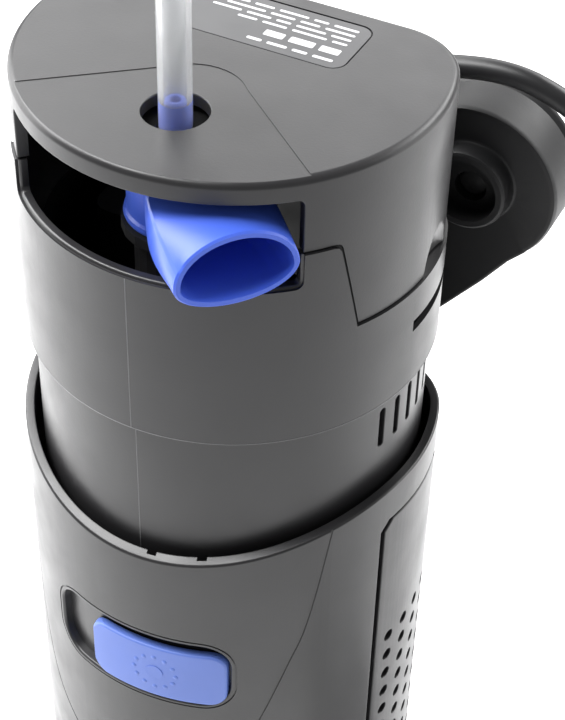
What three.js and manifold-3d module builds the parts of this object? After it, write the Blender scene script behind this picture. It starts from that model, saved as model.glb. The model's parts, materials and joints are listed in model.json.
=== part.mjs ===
// Internal power filter with a UV lamp: a pump head on a D-shaped canister.
// Millimetres, +Z up, front towards -Y. The origin is the centre of the canister's axis on its base.

import * as THREE from 'three';
import { mergeVertices } from 'three/addons/utils/BufferGeometryUtils.js';
import { ConvexGeometry } from 'three/addons/geometries/ConvexGeometry.js';
import Module from 'manifold-3d';

const wasm = await Module();
wasm.setup();

// ---------- driving dimensions ----------
const GAP = 0.3;                // between pieces that touch
const NECK_Z = 241.5;           // lower edge of the pump head, where the neck starts
const HEAD_R = 41;              // front radius of the pump head at that edge
const HEAD_BACK = 24;           // flat back of the pump head
const BACK_CORNER = 15;         // rounding between the round front and the flat back
const HEAD_HEIGHT = 58.5;       // from the lower edge to the flat top
const COVER_DRAFT = 0.5;        // the cover is this much narrower than the shell
const WALL = 2.2;
const PLATE_HALF = 19.5;        // the rating plate's recess in the flat top
const PLATE_FRONT = 3.1;
const PLATE_REAR = 19.2;
const SCOOP_RADII = [5, 9, 13.5]; // finger recesses on both sides of the cover
const SCOOP_X = 43.5;
const SCOOP_Y = 5.2;
const VENT_FRONT = -5.3;        // the shell's side vents, heights above its lower edge
const VENT_REAR = 14;
const VENT_BOTTOM = 13.1;
const VENT_TOP = 15.7;

const NECK_INSET = 1.6;
const NECK_DEPTH = 46;          // how far the neck reaches below the head
const NECK_SLOT_HALF = 0.8;     // five intake slots on each side, heights from the head's lower edge
const NECK_SLOT_TOP = -3.4;
const NECK_SLOT_BOTTOM = -13.2;
const NECK_SLOT_FIRST = 74.7;   // degrees from the front
const NECK_SLOT_PITCH = 7;

const CANISTER_R = 43;
const CANISTER_BACK = 26;
const CANISTER_WALL = 2;
const FLOOR = 3;
const RIM_DROP = 22.3;          // rim below the head's lower edge, at the sides
const RIM_DIP = 10;             // further dip at the front
const RIM_DIP_START = 5;        // the dip starts this far in front of the axis
const NOTCH_ANGLES = [5.9, 20]; // notches inside the rim, degrees right of the front

const SWIVEL_Y = -21.3;         // vertical axis of outlet, air spigot and hose hole
const REST_HEADING = 50.5;      // outlet turned to its right-hand stop, degrees from the front
const WINDOW_HALF = 45;         // half angle of the front window
const WINDOW_TOP = 54.1;        // heights above the head's lower edge
const STEP_HIGH = 43.1;         // parting line at the front
const STEP_LOW = 23.6;          // parting line at the sides and back
const STEP_FRONT_Y = -23.4;     // the step runs from here ...
const STEP_BACK_Y = -19.7;      // ... to here
const SCOOP_Z = 36.3;           // top of the shell's wall under the outlet
const HUB_R = 9.7;              // outlet's hub round the swivel axis
const HUB_FROM = NECK_Z + 36.9;
const HUB_TO = NECK_Z + 53;
const MOUTH_AHEAD = 28;         // outlet's mouth in front of the swivel axis
const MOUTH_Z = NECK_Z + 43;    // height of the mouth's widest line
const MOUTH_LEAN = 0.12;        // how far the mouth leans back for each millimetre of height

const SLOT_HALF = 20.9;         // half width of the slider's recess
const SLOT_TOP = -55.2;
const SLOT_BOTTOM = -73.4;
const SLOT_DEPTH = 1.6;
const SLIDER_HALF = 15;
const SLIDER_TOP = -57.8;
const SLIDER_REST = 6.5;        // degrees right of the front

const DOOR_HALF = 13.3;         // half width of a cartridge door
const DOOR_TOP = NECK_Z - 31.4;
const DOOR_BOTTOM = 14;
const HOLE_PITCH = 12.48;
const HOLE_SIZE = 2.6;
const FIRST_HOLE_Z = NECK_Z - 69.7;
const HOLE_ROWS = 12;
const HOLE_ANGLES = [79.4, 87.6, 95.8, 104];

const PUMP_Y = 1;               // axis of rotor and impeller
const VOLUTE_R = 19;
const VOLUTE_BOTTOM = NECK_Z - 33.5;
const VOLUTE_TOP = NECK_Z - 17;
const IMPELLER_R = 14.2;
const LOBE_X = 34.5;
const LOBE_R = 18;
const LOBE_DEPTH = 11;
const LOBE_FACE = 36;           // front face of the hanger's lobes
const UPPER_LOBE_Z = NECK_Z + 18;
const LOWER_LOBE_Z = 45;
const GLASS_Y = 50;             // plane of the suction cups' lips

const HOSE_R = 3;
const HOSE_BORE = 2.1;
const HOSE_FROM = NECK_Z + 55;
const HOSE_LENGTH = 42.3;

const CABLE_R = 2.25;
const COIL_CENTRE = [134.3, 23.85];
const COIL_MID_R = 25.05;
const COIL_HALF_WIDTH = 9.3;
const COIL_HEIGHT = 9.5;
const RELIEF_FROM = new THREE.Vector3(6, 33.6, NECK_Z + 39);
const RELIEF_TO = new THREE.Vector3(25.6, 33.9, NECK_Z + 44.7);
const PLUG_X = 161.7;
const PLUG_FROM = -17.2;        // where the lead enters the plug
const PLUG_Z = 6.9;

// ---------- materials ----------
function paint(color, roughness, metalness = 0, opacity = 1) {
  return new THREE.MeshStandardMaterial({
    color, roughness, metalness, opacity, transparent: opacity < 1,
  });
}

const paints = {
  housing: paint(0x47474a, 0.45),
  cover: paint(0x47474a, 0.5),
  plate: paint(0x5a5a5e, 0.4),
  blue: paint(0x2f55d8, 0.35),
  paleBlue: paint(0x5b78e0, 0.4),
  clear: paint(0xdfe4ea, 0.1, 0, 0.4),
  quartz: paint(0xe8f0f5, 0.05, 0, 0.3),
  lampGlass: paint(0xf2f4f7, 0.15),
  white: paint(0xe6e6e2, 0.5),
  rubber: paint(0x141414, 0.75),
  hanger: paint(0x1d1d1e, 0.6),
  sponge: paint(0x22262a, 0.95),
  resin: paint(0x26282b, 0.5),
  magnet: paint(0x303236, 0.4, 0.3),
  ceramic: paint(0xf4f1ea, 0.3),
  steel: paint(0xb8babd, 0.3, 1),
  brass: paint(0xc9b26a, 0.3, 1),
  lead: paint(0x171718, 0.5),
};

// ---------- solids ----------
function solid(geometry) {
  const plain = geometry.index ? geometry.toNonIndexed() : geometry.clone();
  plain.deleteAttribute('normal');
  plain.deleteAttribute('uv');
  const merged = mergeVertices(plain, 1e-4);
  return new wasm.Manifold(new wasm.Mesh({
    numProp: 3,
    vertProperties: new Float32Array(merged.attributes.position.array),
    triVerts: new Uint32Array(merged.index.array),
  }));
}

function geometryOf(manifold) {
  const mesh = manifold.getMesh();
  const geometry = new THREE.BufferGeometry();
  const positions = new Float32Array(mesh.numVert * 3);
  for (let i = 0; i < mesh.numVert; i += 1) {
    for (let k = 0; k < 3; k += 1) {
      positions[3 * i + k] = mesh.vertProperties[mesh.numProp * i + k];
    }
  }
  geometry.setAttribute('position', new THREE.BufferAttribute(positions, 3));
  geometry.setIndex(new THREE.BufferAttribute(new Uint32Array(mesh.triVerts), 1));
  geometry.computeVertexNormals();
  return geometry;
}

function joined(...pieces) {
  return pieces.reduce((all, piece) => all.add(piece));
}

function cut(body, ...tools) {
  return tools.reduce((left, tool) => left.subtract(tool), body);
}

// ---------- outlines ----------
const deg = THREE.MathUtils.degToRad;

function arc(cx, cy, r, from, to, steps) {
  return Array.from({ length: steps + 1 }, (_, i) => {
    const a = from + ((to - from) * i) / steps;
    return new THREE.Vector2(cx + r * Math.cos(a), cy + r * Math.sin(a));
  });
}

function circle(r, sides, cx = 0, cy = 0) {
  return new THREE.Shape(arc(cx, cy, r, 0, 2 * Math.PI, sides).slice(0, sides));
}

// Round front, flat back and rounded back corners, each moved in by inset.
function bodyOutline(radius, back, inset = 0, corner = BACK_CORNER) {
  const r = radius - inset;
  const c = corner - inset;
  const cy = back - inset - c;
  const cx = Math.sqrt((r - c) ** 2 - cy ** 2);
  const meet = Math.atan2(cy, cx);
  return new THREE.Shape([
    ...arc(0, 0, r, Math.PI - meet, 2 * Math.PI + meet, 34),
    ...arc(cx, cy, c, meet, Math.PI / 2, 5).slice(1),
    ...arc(-cx, cy, c, Math.PI / 2, Math.PI - meet, 5).slice(0, 5),
  ]);
}

function roundedRectangle(x0, y0, x1, y1, r, steps = 4) {
  return new THREE.Shape([
    ...arc(x1 - r, y0 + r, r, -Math.PI / 2, 0, steps),
    ...arc(x1 - r, y1 - r, r, 0, Math.PI / 2, steps),
    ...arc(x0 + r, y1 - r, r, Math.PI / 2, Math.PI, steps),
    ...arc(x0 + r, y0 + r, r, Math.PI, 1.5 * Math.PI, steps),
  ]);
}

function polygon(points) {
  return new THREE.Shape(points.map(([x, y]) => new THREE.Vector2(x, y)));
}

// ---------- solids from outlines ----------
function prism(shape, z0, z1, bevel = 0) {
  const geometry = new THREE.ExtrudeGeometry(shape, {
    depth: z1 - z0 - 2 * bevel,
    bevelEnabled: bevel > 0,
    bevelThickness: bevel,
    bevelSize: bevel,
    bevelOffset: -bevel,
    bevelSegments: 2,
    curveSegments: 8,
  });
  return solid(geometry.translate(0, 0, z0 + bevel));
}

// An outline in Y and Z, swept along X.
function acrossX(shape, x0, x1) {
  const geometry = new THREE.ExtrudeGeometry(shape, { depth: x1 - x0, bevelEnabled: false });
  const turn = new THREE.Matrix4().makeBasis(
    new THREE.Vector3(0, 1, 0), new THREE.Vector3(0, 0, 1), new THREE.Vector3(1, 0, 0),
  );
  return solid(geometry.applyMatrix4(turn).translate(x0, 0, 0));
}

// An outline in X and Z, swept along Y.
function acrossY(shape, y0, y1) {
  const geometry = new THREE.ExtrudeGeometry(shape, { depth: y1 - y0, bevelEnabled: false });
  return solid(geometry.rotateX(Math.PI / 2).translate(0, y1, 0));
}

function block(x0, x1, y0, y1, z0, z1) {
  const geometry = new THREE.BoxGeometry(x1 - x0, y1 - y0, z1 - z0);
  return solid(geometry.translate((x0 + x1) / 2, (y0 + y1) / 2, (z0 + z1) / 2));
}

function rod(r, z0, z1, x = 0, y = 0, sides = 20) {
  return prism(circle(r, sides, x, y), z0, z1);
}

function pipe(outer, inner, z0, z1, x = 0, y = 0, sides = 20) {
  return cut(rod(outer, z0, z1, x, y, sides), rod(inner, z0 - 1, z1 + 1, x, y, sides));
}

// A closed profile of radius and height pairs, turned about a vertical axis.
function turned(points, x = 0, y = 0, sides = 24) {
  const profile = points.map(([r, z]) => new THREE.Vector2(r, z));
  const geometry = new THREE.LatheGeometry(profile, sides);
  return solid(geometry.rotateX(Math.PI / 2).translate(x, y, 0));
}

// The same about an axis along +Y: pairs of radius and distance along Y.
function turnedAboutY(points, x, z, sides = 24) {
  const profile = points.map(([r, y]) => new THREE.Vector2(r, y));
  return solid(new THREE.LatheGeometry(profile, sides).translate(x, 0, z));
}

function wedge(halfAngle, reach, z0, z1) {
  const side = deg(halfAngle);
  const points = arc(0, 0, reach, -Math.PI / 2 - side, -Math.PI / 2 + side, 10);
  return prism(new THREE.Shape([new THREE.Vector2(0, 0), ...points]), z0, z1);
}

function spun(piece, degrees, x = 0, y = 0) {
  return piece.translate([-x, -y, 0]).rotate([0, 0, degrees]).translate([x, y, 0]);
}

// ---------- the part ----------
const part = new THREE.Group();

function add(name, piece, material, group = part) {
  const mesh = new THREE.Mesh(geometryOf(piece), material);
  mesh.name = name;
  group.add(mesh);
}

const headTop = NECK_Z + HEAD_HEIGHT;

// Above or below the stepped parting line of the pump head, as seen from the side.
function partingRegion(above, clearance) {
  const shift = above ? clearance : -clearance;
  const high = NECK_Z + STEP_HIGH + shift;
  const low = NECK_Z + STEP_LOW + shift;
  const end = above ? headTop + 20 : NECK_Z - 100;
  return acrossX(polygon([
    [-80, end], [-80, high], [STEP_FRONT_Y + shift, high], [STEP_BACK_Y + shift, low],
    [80, low], [80, end],
  ].reverse()), -80, 80);
}

function fingerScoop(side, extra) {
  const ball = new THREE.SphereGeometry(1, 12, 8);
  ball.scale(...SCOOP_RADII.map((r) => r + extra));
  return solid(ball.translate(side * SCOOP_X, SCOOP_Y, NECK_Z + STEP_LOW - 2));
}

function topCover() {
  const outer = prism(bodyOutline(HEAD_R - COVER_DRAFT, HEAD_BACK - COVER_DRAFT), NECK_Z, headTop, 1);
  const inner = bodyOutline(HEAD_R - COVER_DRAFT, HEAD_BACK - COVER_DRAFT, WALL);
  let cover = cut(outer, prism(inner, NECK_Z - 1, headTop - 2.5));
  const inside = prism(bodyOutline(HEAD_R - COVER_DRAFT, HEAD_BACK - COVER_DRAFT, 0.6), NECK_Z, headTop - 3);
  for (const side of [-1, 1]) {
    cover = cover.add(fingerScoop(side, 1.6).intersect(inside)).subtract(fingerScoop(side, 0));
  }
  cover = cover.intersect(partingRegion(true, GAP / 2));
  const plateRecess = roundedRectangle(-PLATE_HALF, PLATE_FRONT, PLATE_HALF, PLATE_REAR, 3);
  const sector = new THREE.Shape([
    ...arc(0, -16, 10, deg(141.5), deg(38.5), 6),
    new THREE.Vector2(48, -42.9),
    new THREE.Vector2(-48, -42.9),
  ].reverse());
  return cut(
    cover,
    wedge(WINDOW_HALF, 60, NECK_Z, NECK_Z + WINDOW_TOP),
    rod(6, headTop - 5, headTop + 5, 0, SWIVEL_Y),
    prism(plateRecess, headTop - 0.6, headTop + 5),
    prism(sector, headTop - 0.5, headTop + 5),
    block(-9, 9, 15, 40, NECK_Z, NECK_Z + 48),
  );
}

function neckSlots() {
  const slots = [];
  for (const side of [-1, 1]) {
    for (let i = 0; i < 5; i += 1) {
      const outline = roundedRectangle(
        -NECK_SLOT_HALF, NECK_Z + NECK_SLOT_BOTTOM, NECK_SLOT_HALF, NECK_Z + NECK_SLOT_TOP, 0.6, 1,
      );
      slots.push(spun(acrossY(outline, -50, -30), side * (NECK_SLOT_FIRST + NECK_SLOT_PITCH * i)));
    }
  }
  return slots;
}

const carrierScrews = [[-27, -17], [27, -17], [-27, 13], [27, 13]];

function headShell() {
  const bottom = NECK_Z - NECK_DEPTH;
  const outer = joined(
    prism(bodyOutline(HEAD_R, HEAD_BACK), NECK_Z, NECK_Z + STEP_HIGH + 2),
    prism(bodyOutline(HEAD_R, HEAD_BACK, NECK_INSET), bottom, NECK_Z + 1),
  );
  const inner = joined(
    prism(bodyOutline(HEAD_R, HEAD_BACK, WALL), NECK_Z + 1, NECK_Z + STEP_HIGH + 5),
    prism(bodyOutline(HEAD_R, HEAD_BACK, NECK_INSET + 2), bottom - 1, NECK_Z + 2),
  );
  let shell = cut(outer, inner).intersect(partingRegion(false, GAP / 2));
  shell = cut(shell, wedge(WINDOW_HALF - 0.6, 60, NECK_Z + SCOOP_Z, headTop));
  shell = shell.add(block(-8, 8, HEAD_BACK - 3, HEAD_BACK - 0.2, NECK_Z + 18, NECK_Z + 47));
  const bossTop = bottom + 8;
  const within = prism(bodyOutline(HEAD_R, HEAD_BACK, NECK_INSET + 0.5), bottom, bossTop);
  for (const [x, y] of carrierScrews) {
    const boss = rod(3.6, bottom, bossTop, x, y, 12);
    const wallX = Math.sign(x) * 37;
    const rib = block(Math.min(x, wallX), Math.max(x, wallX), y - 1, y + 1, bottom, bossTop);
    shell = shell.add(boss.add(rib).intersect(within));
    shell = shell.subtract(rod(1.6, bottom - 1, bossTop - 1, x, y, 8));
  }
  for (const side of [-1, 1]) {
    const vent = block(0, 60, VENT_FRONT, VENT_REAR, NECK_Z + VENT_BOTTOM, NECK_Z + VENT_TOP);
    shell = shell.subtract(side > 0 ? vent : vent.mirror([1, 0, 0]));
  }
  return cut(shell, ...neckSlots());
}

// An egg-like ring: taller above its widest line than below it.
function mouthRing(halfWidth, above, below, ahead) {
  const steps = 24;
  return Array.from({ length: steps }, (_, i) => {
    const a = (2 * Math.PI * i) / steps;
    const up = Math.sin(a) * (Math.sin(a) > 0 ? above : below);
    const y = SWIVEL_Y - ahead + MOUTH_LEAN * up;
    return new THREE.Vector3(Math.cos(a) * halfWidth, y, MOUTH_Z + up);
  });
}

function rootRing(halfWidth, low, high, ahead) {
  return [[-halfWidth, low], [halfWidth, low], [halfWidth, high], [-halfWidth, high]].map(
    ([x, z]) => new THREE.Vector3(x, SWIVEL_Y - ahead, NECK_Z + z),
  );
}

function outletNozzle() {
  const duct = solid(new ConvexGeometry([
    ...rootRing(6.6, 37.4, 52.4, 2), ...rootRing(9.4, 37.4, 52, 12),
    ...mouthRing(11.4, 8, 5.4, MOUTH_AHEAD),
  ]));
  const flow = solid(new ConvexGeometry([
    ...rootRing(5.2, 38.6, 49.5, 0), ...rootRing(8, 38.6, 49.6, 12),
    ...mouthRing(10.2, 6.8, 4.2, MOUTH_AHEAD + 1.5),
  ]));
  const hub = rod(HUB_R, HUB_FROM, HUB_TO, 0, SWIVEL_Y, 28);
  const bore = rod(8.4, HUB_FROM - 1, HUB_TO - 2, 0, SWIVEL_Y, 24);
  const spigotHole = rod(3.2, HUB_TO - 5, HUB_TO + 5, 0, SWIVEL_Y, 16);
  return spun(cut(joined(hub, duct), bore, flow, spigotHole), REST_HEADING, 0, SWIVEL_Y);
}

function airSpigot() {
  const z = NECK_Z;
  return turned([
    [1.1, z + 45], [2.9, z + 45], [2.9, z + 49.4], [4.6, z + 49.4], [4.6, z + 50.6], [2.9, z + 50.6],
    [2.9, z + 54.7], [1.7, z + 54.7], [1.7, z + 59], [1.8, z + 59.5], [1.5, z + 60.9], [1.1, z + 60.9],
    [1.1, z + 45],
  ], 0, SWIVEL_Y, 16);
}

function riserPipe() {
  return pipe(8, 6.3, VOLUTE_TOP + GAP, NECK_Z + 38.4, 0, SWIVEL_Y, 24);
}

// ---------- pump ----------
function volute() {
  const z0 = VOLUTE_BOTTOM;
  const z1 = VOLUTE_TOP;
  const outer = joined(rod(VOLUTE_R, z0, z1, 0, PUMP_Y, 28), block(-9, 9, SWIVEL_Y - 9, 0, z0, z1));
  return cut(
    outer,
    rod(VOLUTE_R - 2.4, z0 - 1, z1 - 2, 0, PUMP_Y, 28),
    block(-6, 6, SWIVEL_Y - 6, 0, z0 + 2, z1 - 2),
    rod(6.3, z0 + 4, z1 + 1, 0, SWIVEL_Y, 24),
    rod(7, z1 - 3, z1 + 1, 0, PUMP_Y, 20),
  );
}

function voluteCover() {
  const top = VOLUTE_BOTTOM - GAP;
  const disc = prism(bodyOutline(HEAD_R, HEAD_BACK, NECK_INSET + 2.4), top - 4, top);
  const inlets = [0, 60, 120, 180, 240, 300].map(
    (a) => rod(2.6, top - 5, top + 1, 8.5 * Math.cos(deg(a)), PUMP_Y + 8.5 * Math.sin(deg(a)), 10),
  );
  return cut(disc, rod(3.9, top - 2.5, top + 1, 0, PUMP_Y, 16), ...inlets);
}

function impeller() {
  const z0 = VOLUTE_BOTTOM + 2;
  let wheel = joined(rod(IMPELLER_R, z0 + 8, z0 + 9.6, 0, PUMP_Y, 24), rod(4.4, z0, z0 + 14, 0, PUMP_Y, 16));
  for (let i = 0; i < 6; i += 1) {
    const blade = block(3, IMPELLER_R - 0.5, PUMP_Y - 0.7, PUMP_Y + 0.7, z0 + 1, z0 + 8.5);
    wheel = wheel.add(spun(blade, 60 * i, 0, PUMP_Y));
  }
  return cut(wheel, rod(1.6, z0 - 1, z0 + 20, 0, PUMP_Y, 12));
}

function motorBlock() {
  const z0 = VOLUTE_TOP + GAP;
  const body = prism(roundedRectangle(-25, -12, 25, 18.5, 4), z0, z0 + 40);
  return cut(body, rod(7.2, z0 - 1, z0 + 33, 0, PUMP_Y, 20), block(-8, 8, -20, -11, z0 - 1, z0 + 50));
}

// ---------- lamp ----------
function lampGlass() {
  const tubes = [-7.2, 7.2].map((x) => turned([
    [0, 56], [3.4, 56.6], [5.4, 58.6], [6, 62], [6, 163], [0, 163],
  ], x, 0, 14));
  const bridge = block(-6, 6, -2.5, 2.5, 62, 69);
  return joined(...tubes, bridge);
}

function quartzSleeve() {
  return turned([
    [0, 40], [8, 41.5], [14, 46], [18, 54], [19, 62], [19, 187], [17.4, 187], [17.4, 62],
    [16.4, 55], [13, 48], [7.5, 43.6], [0, 42],
  ], 0, 0, 28);
}

function lampCarrier() {
  const z0 = NECK_Z - NECK_DEPTH - 5 - GAP;
  const disc = prism(bodyOutline(HEAD_R, HEAD_BACK, 2.2), z0, z0 + 5);
  const holes = [-118, -90, -62, 0, 180].map(
    (a) => rod(3.6, z0 - 1, z0 + 6, 27 * Math.cos(deg(a)), 27 * Math.sin(deg(a)), 10),
  );
  const screws = carrierScrews.map(([x, y]) => rod(1.6, z0 - 1, z0 + 6, x, y, 10));
  return cut(disc, rod(16.8, z0 - 1, z0 + 6, 0, 0, 24), ...holes, ...screws);
}

function carrierScrew(x, y) {
  const under = NECK_Z - NECK_DEPTH - 5 - GAP;
  return joined(rod(1.25, under - 1, under + 11, x, y, 8), rod(2.6, under - 2.2, under - GAP, x, y, 12));
}

// ---------- canister ----------
function rimRegion() {
  const top = NECK_Z - RIM_DROP;
  const reach = 48;
  const span = CANISTER_R - RIM_DIP_START;
  const points = [[reach, top]];
  for (let i = 0; i <= 12; i += 1) {
    const ahead = RIM_DIP_START + ((reach - RIM_DIP_START) * i) / 12;
    points.push([-ahead, top - RIM_DIP * ((ahead - RIM_DIP_START) / span) ** 2]);
  }
  return acrossX(polygon([...points, [-reach, -5], [reach, -5]]), -60, 60);
}

function slotOutline(grow = 0) {
  return roundedRectangle(
    -SLOT_HALF - grow, NECK_Z + SLOT_BOTTOM - grow, SLOT_HALF + grow, NECK_Z + SLOT_TOP + grow, 6.5 + grow, 5,
  );
}

// A curved band of the canister's front between two radii.
function frontBand(outline, inner, outer) {
  return acrossY(outline, -60, -20).intersect(
    cut(rod(outer, 0, NECK_Z, 0, 0, 96), rod(inner, -1, NECK_Z + 1, 0, 0, 96)),
  );
}

function doorOutline(inset) {
  const h = DOOR_HALF - inset;
  const top = DOOR_TOP - inset;
  const bottom = DOOR_BOTTOM + inset;
  const c = 2.4;
  return polygon([
    [-h, bottom], [h, bottom], [h, top - c], [h - c, top], [-h + c, top], [-h, top - c],
  ]);
}

function sideWall(inset, inner, outer) {
  const ring = cut(rod(outer, 0, NECK_Z, 0, 0, 96), rod(inner, -1, NECK_Z + 1, 0, 0, 96));
  return acrossX(doorOutline(inset), 20, 60).intersect(ring);
}

function canisterBody() {
  const outline = (inset) => bodyOutline(CANISTER_R, CANISTER_BACK, inset, BACK_CORNER + 2);
  const outer = prism(outline(0), 0, NECK_Z - 10);
  let body = cut(outer, prism(outline(CANISTER_WALL), FLOOR, NECK_Z));
  body = body.intersect(rimRegion());
  body = body.add(frontBand(slotOutline(3), CANISTER_R - 3.4, CANISTER_R - 1.5));
  body = cut(body, frontBand(slotOutline(), CANISTER_R - SLOT_DEPTH, CANISTER_R + 4));
  const mid = NECK_Z + (SLOT_BOTTOM + SLIDER_TOP) / 2;
  body = cut(body, acrossY(roundedRectangle(-8.5, mid - 2.2, 8.5, mid + 2.2, 2, 3), -50, -30));
  for (const side of [-1, 1]) {
    const opening = acrossX(doorOutline(0), 25, 60);
    body = body.subtract(side > 0 ? opening : opening.mirror([1, 0, 0]));
  }
  for (const angle of NOTCH_ANGLES) {
    body = body.subtract(spun(block(-1, 1, -CANISTER_R + 1.1, -38, NECK_Z - 33.5, NECK_Z - 20), angle));
  }
  const railFoot = block(-4, 4, CANISTER_BACK - 1, 30.3, 30, 210);
  const railHead = block(-8, 8, 30, 32.5, 30, 210);
  return joined(body, railFoot, railHead);
}

function uvSlider() {
  const bottom = NECK_Z + SLOT_BOTTOM + GAP;
  const outline = roundedRectangle(-SLIDER_HALF, bottom, SLIDER_HALF, NECK_Z + SLIDER_TOP, 4.5, 5);
  const plate = frontBand(outline, CANISTER_R - SLOT_DEPTH + GAP, CANISTER_R + 0.4);
  const mid = (bottom + NECK_Z + SLIDER_TOP) / 2;
  const pilot = acrossY(circle(1.5, 12, 0, mid), -CANISTER_R + 0.4, -30);
  return spun(cut(plate, pilot), SLIDER_REST);
}

function sliderScrew() {
  const mid = NECK_Z + (SLOT_BOTTOM + GAP + SLIDER_TOP) / 2;
  const shank = acrossY(circle(1.2, 10, 0, mid), -CANISTER_R + 0.8, -38);
  const head = acrossY(circle(3.6, 14, 0, mid), -39.2, -37.8);
  return spun(joined(shank, head), SLIDER_REST);
}

function cartridgeDoor(side) {
  let panel = sideWall(0.35, CANISTER_R - CANISTER_WALL, CANISTER_R);
  const holes = [];
  for (const angle of HOLE_ANGLES) {
    for (let row = 0; row < HOLE_ROWS; row += 1) {
      const z = FIRST_HOLE_Z - row * HOLE_PITCH;
      const hole = block(38, 46, -HOLE_SIZE / 2, HOLE_SIZE / 2, z - HOLE_SIZE / 2, z + HOLE_SIZE / 2);
      holes.push(spun(hole, angle - 90));
    }
  }
  panel = cut(panel, ...holes);
  return side > 0 ? panel : panel.mirror([1, 0, 0]);
}

function cartridgeFrame(side) {
  const outer = block(25.5, 38.8, -12, 12, 17, 187);
  const frame = cut(outer, block(20, 45, -10.6, 10.6, 18.5, 185.5));
  return side > 0 ? frame : frame.mirror([1, 0, 0]);
}

function sponge(side) {
  const pad = block(26.5, 38.5, -10.2, 10.2, 19, 185);
  return side > 0 ? pad : pad.mirror([1, 0, 0]);
}

// ---------- hanger ----------
function lobePlate(z, shoulder) {
  const half = [[LOBE_X + 13.6, z - 11.8], [11, z - shoulder]];
  const outline = [
    ...half, ...half.map(([x, h]) => [-x, h]).reverse(), [-LOBE_X, z + 6], [LOBE_X, z + 6],
  ];
  return acrossY(polygon(outline.reverse()), LOBE_FACE, LOBE_FACE + 2.5);
}

const lobes = [
  ['upper_left', -LOBE_X, UPPER_LOBE_Z], ['upper_right', LOBE_X, UPPER_LOBE_Z],
  ['lower_left', -LOBE_X, LOWER_LOBE_Z], ['lower_right', LOBE_X, LOWER_LOBE_Z],
];

function hanger() {
  const z0 = 36;
  const z1 = 212;
  const spine = block(-11, 11, 33.2, LOBE_FACE + 2.5, z0, z1);
  const lips = [-1, 1].map((side) => {
    const wall = block(8.5, 11, 27, 34, z0, z1);
    const lip = block(4.5, 11, 27, 29.5, z0, z1);
    const both = joined(wall, lip);
    return side > 0 ? both : both.mirror([1, 0, 0]);
  });
  const plates = joined(lobePlate(UPPER_LOBE_Z, 60), lobePlate(LOWER_LOBE_Z, 24));
  const relief = lobes.map(([, x, z]) => acrossY(circle(LOBE_R - 1.8, 22, x, z), LOBE_FACE + 2.5, 60));
  const bosses = lobes.map(([, x, z]) => acrossY(circle(3.4, 10, x, z), LOBE_FACE - 2.5, 60));
  const cups = lobes.map(([, x, z]) => acrossY(circle(LOBE_R, 22, x, z), LOBE_FACE, LOBE_FACE + LOBE_DEPTH)
    .add(acrossY(circle(8.8, 16, x, z + 1.5), LOBE_FACE - 4.5, LOBE_FACE + 1)));
  return cut(joined(spine, ...lips, plates, ...cups), ...relief, ...bosses);
}

function suctionCup(x, z) {
  const y = LOBE_FACE + 2.5 + GAP;
  return turnedAboutY([
    [0, y - 4], [3, y - 4], [3, y], [9, y], [12.5, y + 3], [15.8, GLASS_Y - 2], [17.6, GLASS_Y - 1],
    [17.6, GLASS_Y], [15.4, GLASS_Y], [10, GLASS_Y - 3.5], [0, GLASS_Y - 5],
  ], x, z, 18);
}

// ---------- air hose and valve ----------
function airHose() {
  return pipe(HOSE_R, HOSE_BORE, HOSE_FROM, HOSE_FROM + HOSE_LENGTH, 0, SWIVEL_Y, 12);
}

const valveFoot = HOSE_FROM + HOSE_LENGTH + GAP;

function airValve() {
  return turned([
    [0, valveFoot - 6], [1.7, valveFoot - 6], [1.7, valveFoot], [4.6, valveFoot], [5.4, valveFoot + 1.5],
    [5.4, valveFoot + 12], [4.2, valveFoot + 13.5], [2, valveFoot + 13.5], [2, valveFoot + 17],
    [0, valveFoot + 17],
  ], 0, SWIVEL_Y, 12);
}

function valveKnob() {
  const z = valveFoot + 13.5 + GAP;
  let knob = turned([
    [2.3, z], [5, z], [5, z + 6], [4.2, z + 7], [0, z + 7], [0, z + 5], [2.3, z + 5], [2.3, z],
  ], 0, SWIVEL_Y, 16);
  for (let i = 0; i < 6; i += 1) {
    const rib = block(4.5, 5.6, SWIVEL_Y - 0.5, SWIVEL_Y + 0.5, z + 0.5, z + 5.8);
    knob = knob.add(spun(rib, 60 * i, 0, SWIVEL_Y));
  }
  return knob;
}

// ---------- mains lead ----------
const leadRoute = [
  [25.9, 33.9, 286.3], [30.2, 34, 287.3], [34.6, 34, 288.2], [38.6, 34.1, 288.6], [42.7, 34.3, 288.4],
  [46.8, 34.6, 287.4], [52, 35, 285.2], [57.5, 35.6, 281.4], [63, 36.4, 275.6], [67.6, 37.3, 268.2],
  [71.4, 38.3, 259], [74.4, 39.4, 247.6], [77, 40.6, 233], [79.6, 42, 214], [82.2, 43.6, 191],
  [84.6, 45.2, 166], [86.8, 46.8, 140], [88.8, 48.4, 114], [90.6, 50, 89], [92.2, 51.4, 66],
  [94, 52.7, 46], [97, 53.9, 28], [101.6, 54.9, 14], [107.8, 55.6, 5.4], [114.7, 55.85, 2.6],
];

const tailRoute = [
  [166.3, 5.1, 6.3], [166.1, 0.2, 6.05], [165.2, -4.8, 5.95], [163.8, -9.3, 6.2], [162.4, -13, 6.6],
  [161.8, -16.7, 6.9],
];

function tube(route, radius, sides, steps) {
  const path = new THREE.CatmullRomCurve3(route.map(([x, y, z]) => new THREE.Vector3(x, y, z)));
  return solid(new THREE.ExtrudeGeometry(circle(radius, sides), {
    steps, extrudePath: path, bevelEnabled: false,
  }));
}

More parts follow.
